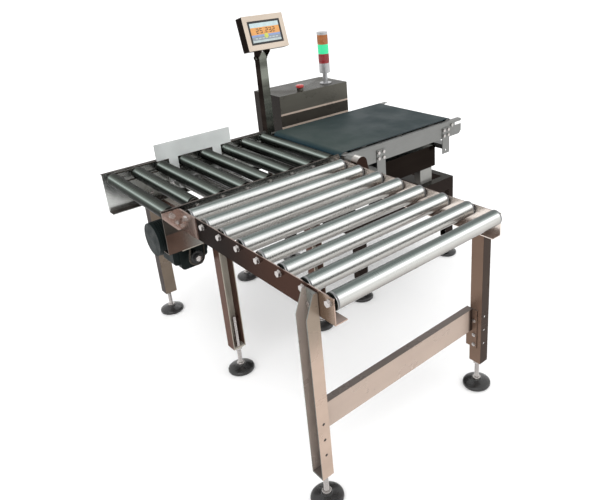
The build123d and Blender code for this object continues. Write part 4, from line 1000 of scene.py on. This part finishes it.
class PieceMesh:
    """Builds the mesh of one piece from boxed, turned and six-sided solids."""

    # Angle in degrees from which an edge stays sharp.
    SHARP = 32.0
    TURN = {
        Axis.X: Matrix.Rotation(pi / 2, 4, "Y"),
        Axis.Y: Matrix.Rotation(-pi / 2, 4, "X"),
        Axis.Z: Matrix.Identity(4),
    }

    def __init__(self, name: str) -> None:
        """Starts an empty mesh for the piece of that name."""
        self.name = name
        self.mesh = bmesh.new()

    def block(
        self, low: Point, high: Point, rounding: float = 0.0, place: Matrix | None = None
    ) -> None:
        """Adds a box with rounded edges.

        Args:
            low: Lowest corner.
            high: Highest corner.
            rounding: Width of the round on each edge.
            place: Matrix that moves the box from its own frame to the row frame.
        """
        size = Vector(high) - Vector(low)
        centre = (Vector(high) + Vector(low)) / 2
        shape = Matrix.Translation(centre) @ Matrix.Diagonal((*size, 1.0))
        if place is not None:
            shape = place @ shape
        made = bmesh.ops.create_cube(self.mesh, size=1.0, matrix=shape)
        self._round(made["verts"], rounding)

    def prism(
        self, centre: Point, radius: float, height: float, axis: Axis, rounding: float = 0.0
    ) -> None:
        """Adds a six-sided prism, such as a nut.

        Args:
            centre: Middle of the prism.
            radius: Distance from its middle line to a corner.
            height: Length along the axis.
            axis: Axis that it stands along.
            rounding: Width of the round on each edge.
        """
        made = bmesh.ops.create_cone(
            self.mesh,
            cap_ends=True,
            segments=6,
            radius1=radius,
            radius2=radius,
            depth=height,
            matrix=Matrix.Translation(centre) @ self.TURN[axis],
        )
        self._round(made["verts"], rounding)

    def turned(
        self,
        outline: Outline,
        centre: Point,
        axis: Axis,
        steps: int = 36,
        place: Matrix | None = None,
    ) -> None:
        """Adds a solid of revolution.

        Args:
            outline: Points of radius and height, in order. An outline that starts and ends on
                the axis is closed by it, and any other outline is closed back to its start.
            centre: Point that heights are measured from.
            axis: Axis that the outline is spun round.
            steps: Number of flats round the solid.
            place: Matrix that moves the solid from its own frame to the row frame.
        """
        stand = Matrix.Translation(centre) @ self.TURN[axis]
        if place is not None:
            stand = place @ stand
        corners = [self.mesh.verts.new(stand @ Vector((r, 0.0, h))) for r, h in outline]
        edges = [self.mesh.edges.new(pair) for pair in zip(corners, corners[1:])]
        if outline[0][0] > 0:
            edges.append(self.mesh.edges.new((corners[-1], corners[0])))
        bmesh.ops.spin(
            self.mesh,
            geom=corners + edges,
            cent=stand.translation,
            axis=stand.to_3x3() @ Vector((0.0, 0.0, 1.0)),
            dvec=(0.0, 0.0, 0.0),
            angle=2 * pi,
            steps=steps,
            use_merge=True,
        )

    def _round(self, corners: list, rounding: float) -> None:
        """Rounds every edge between the corners given."""
        if rounding <= 0:
            return
        edges = list({edge for corner in corners for edge in corner.link_edges})
        bmesh.ops.bevel(
            self.mesh,
            geom=edges,
            offset=rounding,
            segments=ROUND_STEPS,
            profile=0.5,
            affect="EDGES",
            material=-1,
        )

    def done(self, finish: Finish, body: str) -> bpy.types.Object:
        """Closes the mesh and hands over the finished piece.

        Args:
            finish: Finish that the piece shows.
            body: Body that it moves with.

        Returns:
            The piece.
        """
        bmesh.ops.remove_doubles(self.mesh, verts=self.mesh.verts, dist=MERGE_GAP)
        obj = object_from(self.name, self.mesh, self.SHARP)
        settle(obj, body, finish)
        return obj


@dataclass
class SoftenedPart:
    """A carried-over node whose cut and folded edges get small rounds."""

    node: str
    rounding: float

    # Angles in degrees from which an edge is rounded, and up to which facets are one face.
    SHARP = 40.0
    FLAT = 0.4

    def build(self) -> None:
        """Copies the node, joins its facets into whole faces and rounds its edges."""
        shape = bmesh.new()
        shape.from_mesh(frame["nodes"][self.node].data)
        bmesh.ops.remove_doubles(shape, verts=shape.verts, dist=MERGE_GAP)
        bmesh.ops.dissolve_limit(
            shape,
            angle_limit=radians(self.FLAT),
            use_dissolve_boundaries=False,
            verts=shape.verts,
            edges=shape.edges,
            delimit={"NORMAL"},
        )
        obj = object_from(f"{self.node}_softened", shape, self.SHARP)
        rounds = obj.modifiers.new("edge rounds", "BEVEL")
        rounds.width = self.rounding
        rounds.segments = ROUND_STEPS
        rounds.limit_method = "ANGLE"
        rounds.angle_limit = radians(self.SHARP)
        rounds.harden_normals = True
        slot = NODE_SLOT[self.node]
        finish = NODE_FINISH.get(self.node) or SLOT_FINISH[slot]
        settle(obj, NODE_BODY[self.node], finish)
        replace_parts(obj, self.node)


@dataclass
class LevellingFoot:
    """Domed rubber pad with a steel neck, a threaded stud and its lock nut."""

    node: str

    # Outlines of the pad and of the steel neck on it, as radius and height.
    DOME = (
        (0.0, 0.0), (0.0455, 0.0), (0.0485, 0.0012), (0.0500, 0.0040), (0.0500, 0.0085),
        (0.0488, 0.0112), (0.0462, 0.0130), (0.0420, 0.0150), (0.0350, 0.0176),
        (0.0280, 0.0198), (0.0220, 0.0214), (0.0176, 0.0228), (0.0160, 0.0250),
        (0.0, 0.0250),
    )
    NECK = (
        (0.0, 0.0245), (0.0138, 0.0245), (0.0144, 0.0255), (0.0144, 0.0315),
        (0.0132, 0.0330), (0.0092, 0.0335), (0.0, 0.0335),
    )
    THREAD_START = 0.033
    PITCH = 0.003
    CREST = 0.0080
    ROOT = 0.0069
    TIP = 0.0060
    NUT_LEVEL = 0.0988
    NUT_RADIUS = 0.0138
    NUT_HEIGHT = 0.0100

    def build(self) -> None:
        """Builds the pad and the stud."""
        _, high, middle = spot_of(self.node)
        x, y = middle.x, middle.y
        body = NODE_BODY[self.node]
        pad = PieceMesh(f"{self.node}_pad")
        pad.turned(self.DOME, (x, y, 0.0), Axis.Z, steps=56)
        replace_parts(pad.done(Finish.FOOT_BLACK, body), self.node)
        stud = PieceMesh(f"{self.node}_stud")
        stud.turned(self.NECK, (x, y, 0.0), Axis.Z)
        stud.turned(self.thread(high.z), (x, y, 0.0), Axis.Z, steps=20)
        stud.prism((x, y, self.NUT_LEVEL), self.NUT_RADIUS, self.NUT_HEIGHT, Axis.Z, 0.0008)
        stud.done(Finish.BOLT_STEEL, body)

    def thread(self, end: float) -> Outline:
        """Outline of the stud with its thread crests.

        Args:
            end: Height where the stud ends.

        Returns:
            Points of radius and height.
        """
        start, pitch = self.THREAD_START, self.PITCH
        outline = [(0.0, start)]
        turns = int((end - start - 0.002) / pitch)
        for i in range(turns):
            outline.append((self.ROOT, start + i * pitch + 0.0003))
            outline.append((self.CREST, start + i * pitch + pitch / 2))
        outline.append((self.ROOT, start + turns * pitch + 0.0003))
        outline.append((self.TIP, end))
        outline.append((0.0, end))
        return outline


@dataclass
class SeamRings:
    """Thin grey rings near the two ends of a roller that lies along X."""

    node: str

    REACH = 0.0035
    HALF_WIDTH = 0.0030

    def build(self) -> None:
        """Builds both rings as one piece."""
        low, high, middle = spot_of(self.node)
        radius, half = (high.z - low.z) / 2, self.HALF_WIDTH
        outline = [
            (radius - 0.0006, -half),
            (radius + 0.0001, 0.0004 - half),
            (radius + 0.00015, 0.0),
            (radius + 0.0001, half - 0.0004),
            (radius - 0.0006, half),
        ]
        piece = PieceMesh(f"{self.node}_rings")
        for x in (low.x + self.REACH, high.x - self.REACH):
            piece.turned(outline, (x, middle.y, middle.z), Axis.X, steps=48)
        piece.done(Finish.SEAM_GREY, NODE_BODY[self.node])


class OperatorPanel:
    """Tilting panel with its display, its bezel and its generic weight reading."""

    SCREEN = "hmi_screen"
    READING = "25.232"
    STROKES = {"2": "abged", "3": "abgcd", "5": "afgcd", ".": "p"}
    BANDS = (
        ("pale", Finish.DISPLAY_PALE, 0.0, 0.11),
        ("grey", Finish.DISPLAY_GREY, 0.11, 0.29),
        ("blue", Finish.DISPLAY_BLUE, 0.29, 0.39),
        ("orange", Finish.DISPLAY_ORANGE, 0.39, 0.77),
        ("cyan", Finish.DISPLAY_CYAN, 0.77, 1.0),
    )
    # How much smaller than the display's face its lit area is, and the width of its rim.
    LIT_MARGIN = 0.018
    RIM = 0.008
    KEYS = 7

    def __init__(self) -> None:
        """Finds the place and the size of the display's face in its CAD node."""
        mesh = frame["nodes"][self.SCREEN].data
        front = max(
            (polygon for polygon in mesh.polygons if polygon.normal.y < -0.5),
            key=lambda polygon: polygon.area,
        )
        normal = front.normal.normalized()
        right = Vector((1.0, 0.0, 0.0))
        up = normal.cross(right).normalized()
        level = normal.dot(front.center)
        flat = [v.co for v in mesh.vertices if abs(normal.dot(v.co) - level) < 1e-4]
        across = [right.dot(corner) for corner in flat]
        rise = [up.dot(corner) for corner in flat]
        middle = right * (min(across) + max(across)) / 2 + up * (min(rise) + max(rise)) / 2
        turn = Matrix((right, up, normal)).transposed().to_4x4()
        self.place = Matrix.Translation(middle + normal * level) @ turn
        self.width, self.height = max(across) - min(across), max(rise) - min(rise)
        self.lit_w, self.lit_h = self.width - self.LIT_MARGIN, self.height - self.LIT_MARGIN

    def build(self) -> None:
        """Builds the case, the display bands, the reading, the keys and the rim."""
        SoftenedPart("hmi_housing", 0.0016).build()
        SoftenedPart(self.SCREEN, 0.0008).build()
        half = self.lit_w / 2
        for name, finish, start, stop in self.BANDS:
            band = PieceMesh(f"display_band_{name}")
            low = (-half, self.level(start), 0.00005)
            band.block(low, (half, self.level(stop), 0.00025), 0.0, self.place)
            self.show(band, finish)
        self.digits()
        self.gauge()
        self.rim()

    def level(self, share: float) -> float:
        """Height on the display's face.

        Args:
            share: Share of the lit area that lies under it.

        Returns:
            Height from the face's middle.
        """
        return -self.lit_h / 2 + share * self.lit_h

    def show(self, piece: PieceMesh, finish: Finish) -> None:
        """Closes a piece of the display.

        Args:
            piece: The piece.
            finish: Finish that it shows.
        """
        piece.done(finish, NODE_BODY[self.SCREEN])

    def digits(self) -> None:
        """Builds the reading from seven-part digits."""
        level, tall = self.level(0.585), self.lit_h * 0.26
        wide, stroke, step = tall * 0.56, tall * 0.13, tall * 0.84
        strokes = {
            "a": (-wide / 2, tall / 2 - stroke, wide / 2, tall / 2),
            "g": (-wide / 2, -stroke / 2, wide / 2, stroke / 2),
            "d": (-wide / 2, -tall / 2, wide / 2, -tall / 2 + stroke),
            "f": (-wide / 2, 0.0, -wide / 2 + stroke, tall / 2),
            "b": (wide / 2 - stroke, 0.0, wide / 2, tall / 2),
            "e": (-wide / 2, -tall / 2, -wide / 2 + stroke, 0.0),
            "c": (wide / 2 - stroke, -tall / 2, wide / 2, 0.0),
            "p": (-stroke * 0.6, -tall / 2, stroke * 0.6, -tall / 2 + stroke * 1.2),
        }
        ink = PieceMesh("display_digits")
        x = -self.lit_w * 0.27
        for letter in self.READING:
            for key in self.STROKES[letter]:
                x0, y0, x1, y1 = strokes[key]
                low, high = (x + x0, level + y0, 0.0002), (x + x1, level + y1, 0.00045)
                ink.block(low, high, 0.0, self.place)
            x += step * (0.62 if letter == "." else 1.0)
        self.show(ink, Finish.DISPLAY_INK)

    def gauge(self) -> None:
        """Builds the green disc and the row of small keys under the reading."""
        level, radius = self.level(0.31), self.lit_h * 0.13
        disc = [(0.0, 0.0002), (radius, 0.0002), (radius, 0.0005), (0.0, 0.0005)]
        oval = PieceMesh("display_oval")
        oval.turned(disc, (0.0, level, 0.0), Axis.Z, place=self.place)
        self.show(oval, Finish.DISPLAY_GREEN)
        keys = PieceMesh("display_keys")
        y = level - self.lit_h * 0.11
        for i in range(self.KEYS):
            x = self.lit_h * 0.21 * (i - self.KEYS // 2)
            low, high = (x - 0.006, y - 0.0022, 0.0002), (x + 0.006, y + 0.0022, 0.0004)
            keys.block(low, high, 0.0, self.place)
        self.show(keys, Finish.DISPLAY_PALE)

    def rim(self) -> None:
        """Builds the thin black rim round the display."""
        rim = PieceMesh("display_rim")
        x, y = self.width / 2, self.height / 2
        bars = [
            ((-x, -y), (x, -y + self.RIM)),
            ((-x, y - self.RIM), (x, y)),
            ((-x, -y + self.RIM), (-x + self.RIM, y - self.RIM)),
            ((x - self.RIM, -y + self.RIM), (x, y - self.RIM)),
        ]
        for low, high in bars:
            rim.block((*low, -0.0002), (*high, 0.0009), 0.0003, self.place)
        self.show(rim, Finish.BLACK_PLASTIC)


@dataclass
class TowerLens:
    """Lens of the signal tower, with upright ribs and a smooth band at each end."""

    node: str

    RIBS = 30

    def build(self) -> None:
        """Builds the lens."""
        low, high, middle = spot_of(self.node)
        x, y = middle.x, middle.y
        radius, tall = (high.x - low.x) / 2, high.z - low.z
        rise = [
            (radius - 0.0035, 0.0), (radius - 0.0002, 0.0), (radius, 0.0006),
            (radius, 0.0045), (radius - 0.0010, 0.0055),
        ]
        fall = [(across, tall - height) for across, height in reversed(rise)]
        piece = PieceMesh(f"{self.node}_ribbed")
        piece.turned(rise + fall, (x, y, low.z), Axis.Z, steps=self.RIBS * 2)
        for i in range(self.RIBS):
            turn = 2 * pi * i / self.RIBS
            spot = Matrix.Translation((x, y, low.z)) @ Matrix.Rotation(turn, 4, "Z")
            start = (radius - 0.0014, -0.0008, 0.0058)
            piece.block(start, (radius - 0.0002, 0.0008, tall - 0.0058), 0.0003, spot)
        slot = NODE_SLOT[self.node]
        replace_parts(piece.done(SLOT_FINISH[slot], NODE_BODY[self.node]), self.node)


@dataclass
class StopButton:
    """Red mushroom head on its stem."""

    node: str

    def build(self) -> None:
        """Builds the head and the stem as one turned piece."""
        low, high, middle = spot_of(self.node)
        radius, top = (high.x - low.x) / 2, high.z
        outline = [
            (0.0, low.z),
            (radius * 0.42, low.z),
            (radius * 0.42, top - 0.016),
            (radius * 0.92, top - 0.0145),
            (radius, top - 0.012),
            (radius, top - 0.007),
            (radius * 0.93, top - 0.003),
            (radius * 0.7, top - 0.0008),
            (radius * 0.35, top),
            (0.0, top),
        ]
        head = PieceMesh("stop_head")
        head.turned(outline, (middle.x, middle.y, 0.0), Axis.Z, steps=48)
        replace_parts(head.done(Finish.STOP_RED, NODE_BODY[self.node]), self.node)


@dataclass(frozen=True)
class AreaLight:
    """Soft box of the studio."""

    name: str
    place: Point
    aim: Point
    size: tuple[float, float]
    power: float

    def build(self) -> None:
        """Adds the light and points it at its aim."""
        data = bpy.data.lights.new(self.name, "AREA")
        data.shape = "RECTANGLE"
        data.size, data.size_y = self.size
        data.energy = self.power
        lamp = bpy.data.objects.new(self.name, data)
        lamp.location = self.place
        toward = Vector(self.aim) - Vector(self.place)
        lamp.rotation_mode = "QUATERNION"
        lamp.rotation_quaternion = toward.to_track_quat("-Z", "Y")
        bpy.context.scene.collection.objects.link(lamp)


@dataclass
class Studio:
    """Pale floor, soft lights, white surround and the camera at the photo's viewpoint."""

    floor_half: float = 40.0
    floor_level: float = -0.0002
    light_from_surround: float = 1.3
    white_of_surround: float = 1.0
    eye: Point = (-1.4424, -1.8247, 1.4945)
    azimuth: float = -41.4
    elevation: float = 22.6
    roll: float = -2.9
    lens: float = 36.04
    shift: tuple[float, float] = (-0.1137, -0.0897)
    lights: tuple[AreaLight, ...] = (
        AreaLight("key_light", (-2.2, -1.4, 3.6), (0.0, 0.0, 0.6), (3.0, 3.0), 36.0),
        AreaLight("fill_light", (2.6, -3.0, 2.6), (0.0, 0.0, 0.5), (3.0, 2.0), 12.0),
        AreaLight("back_light", (1.5, 3.2, 3.2), (0.0, 0.0, 0.6), (3.0, 1.2), 12.0),
    )

    def build(self) -> None:
        """Builds the whole set."""
        self.floor()
        self.surround()
        for light in self.lights:
            light.build()
        self.camera()

    def floor(self) -> None:
        """Lays the pale floor under the machine."""
        half = self.floor_half
        plan = bmesh.new()
        corners = [
            plan.verts.new((x, y, self.floor_level))
            for x, y in ((-half, -half), (half, -half), (half, half), (-half, half))
        ]
        plan.faces.new(corners)
        data = bpy.data.meshes.new("studio_floor")
        plan.to_mesh(data)
        plan.free()
        material, wiring, shader = start_material("studio_floor")
        cloud = marks_and_reflection_bands(wiring, 1.5, 2.0, 60.0)["Cloud"]
        tone = wiring.mix(cloud, paint(252, 252, 252), paint(254, 254, 254))
        wiring.fill(shader, Base_Color=tone, Roughness=0.9, Specular_IOR_Level=0.1)
        obj = bpy.data.objects.new("studio_floor", data)
        data.materials.append(material)
        bpy.context.scene.collection.objects.link(obj)

    def surround(self) -> None:
        """Sets a white surround for the camera and reflections, and a brighter one as light."""
        world = bpy.data.worlds.new("studio_surround")
        world.use_nodes = True
        bpy.context.scene.world = world
        wiring = Wiring(world.node_tree)
        world.node_tree.nodes.clear()
        output = wiring.add("ShaderNodeOutputWorld")
        blend = wiring.add("ShaderNodeMixShader")
        path = wiring.add("ShaderNodeLightPath").outputs
        either = wiring.math("ADD", path["Is Camera Ray"], path["Is Glossy Ray"])
        share = wiring.math("ADD", either, path["Is Transmission Ray"])
        wiring.link(share, blend.inputs[0])
        for i, strength in enumerate((self.light_from_surround, self.white_of_surround), 1):
            white = wiring.add("ShaderNodeBackground")
            wiring.fill(white, Color=WHITE, Strength=strength)
            wiring.link(white.outputs[0], blend.inputs[i])
        wiring.link(blend.outputs[0], output.inputs[0])

    def camera(self) -> None:
        """Stands the camera where the photo was taken from."""
        around, above, tilt = radians(self.azimuth), radians(self.elevation), radians(self.roll)
        back = Vector((sin(around) * cos(above), -cos(around) * cos(above), sin(above)))
        right = (-back).cross(Vector((0.0, 0.0, 1.0))).normalized()
        up = right.cross(-back).normalized()
        rolled_right = right * cos(tilt) + up * sin(tilt)
        rolled_up = up * cos(tilt) - right * sin(tilt)
        data = bpy.data.cameras.new("photo_camera")
        data.sensor_width = 36.0
        data.lens = self.lens
        data.shift_x, data.shift_y = self.shift
        data.clip_start, data.clip_end = 0.05, 200.0
        obj = bpy.data.objects.new("photo_camera", data)
        turn = Matrix((rolled_right, rolled_up, back)).transposed()
        obj.matrix_world = Matrix.Translation(self.eye) @ turn.to_4x4()
        bpy.context.scene.collection.objects.link(obj)
        bpy.context.scene.camera = obj


class Checkweigher:
    """The whole machine, dressed sub-assembly by sub-assembly."""

    EDGE_ROUNDS = {
        "main_rails": 0.0008,
        "main_stand": 0.0007,
        "gravity_rails": 0.0008,
        "gravity_stand": 0.0007,
        "weigh_stand": 0.0007,
        "weigh_box": 0.0020,
        "control_cabinet": 0.0020,
        "cabinet_door": 0.0016,
        "hmi_column": 0.0015,
        "belt_frame": 0.0006,
        "support_brackets": 0.0006,
        "drive_guard": 0.0012,
        "pusher_plate": 0.0006,
        "pusher_carriage": 0.0008,
        "pusher_slide": 0.0006,
        "gear_motor": 0.0014,
        "belt_motor": 0.0010,
        "load_cell": 0.0008,
        "cabinet_electronics": 0.0008,
        "fasteners": 0.0005,
        "tower_base": 0.0006,
    }
    LEAST_ROUND = 0.0003

    def build(self) -> None:
        """Builds the parts that need their own shapes, and softens all the others."""
        OperatorPanel().build()
        StopButton("estop_button").build()
        self.shaft_nut()
        for node in frame["nodes"]:
            if node.startswith("foot_"):
                LevellingFoot(node).build()
                continue
            if node.startswith("tower_lens_"):
                TowerLens(node).build()
                continue
            if node.startswith("gravity_roller_"):
                SeamRings(node).build()
            if node not in ("hmi_housing", "hmi_screen", "estop_button"):
                SoftenedPart(node, self.EDGE_ROUNDS.get(node, self.LEAST_ROUND)).build()

    def shaft_nut(self) -> None:
        """Adds the bright nut at the free end of the gear motor's shaft."""
        node = "drive_sprocket"
        low, _, middle = spot_of(node)
        piece = PieceMesh("shaft_nut")
        piece.prism((middle.x, low.y - 0.003, middle.z), 0.0115, 0.006, Axis.Y, 0.0005)
        piece.done(Finish.BOLT_STEEL, NODE_BODY[node])


def main() -> None:
    """Builds the machine and its studio."""
    logging.basicConfig(level=logging.INFO, format="%(name)s: %(message)s")
    bpy.context.scene.view_settings.view_transform = "Standard"
    Checkweigher().build()
    Studio().build()


if __name__ == "__main__":
    main()
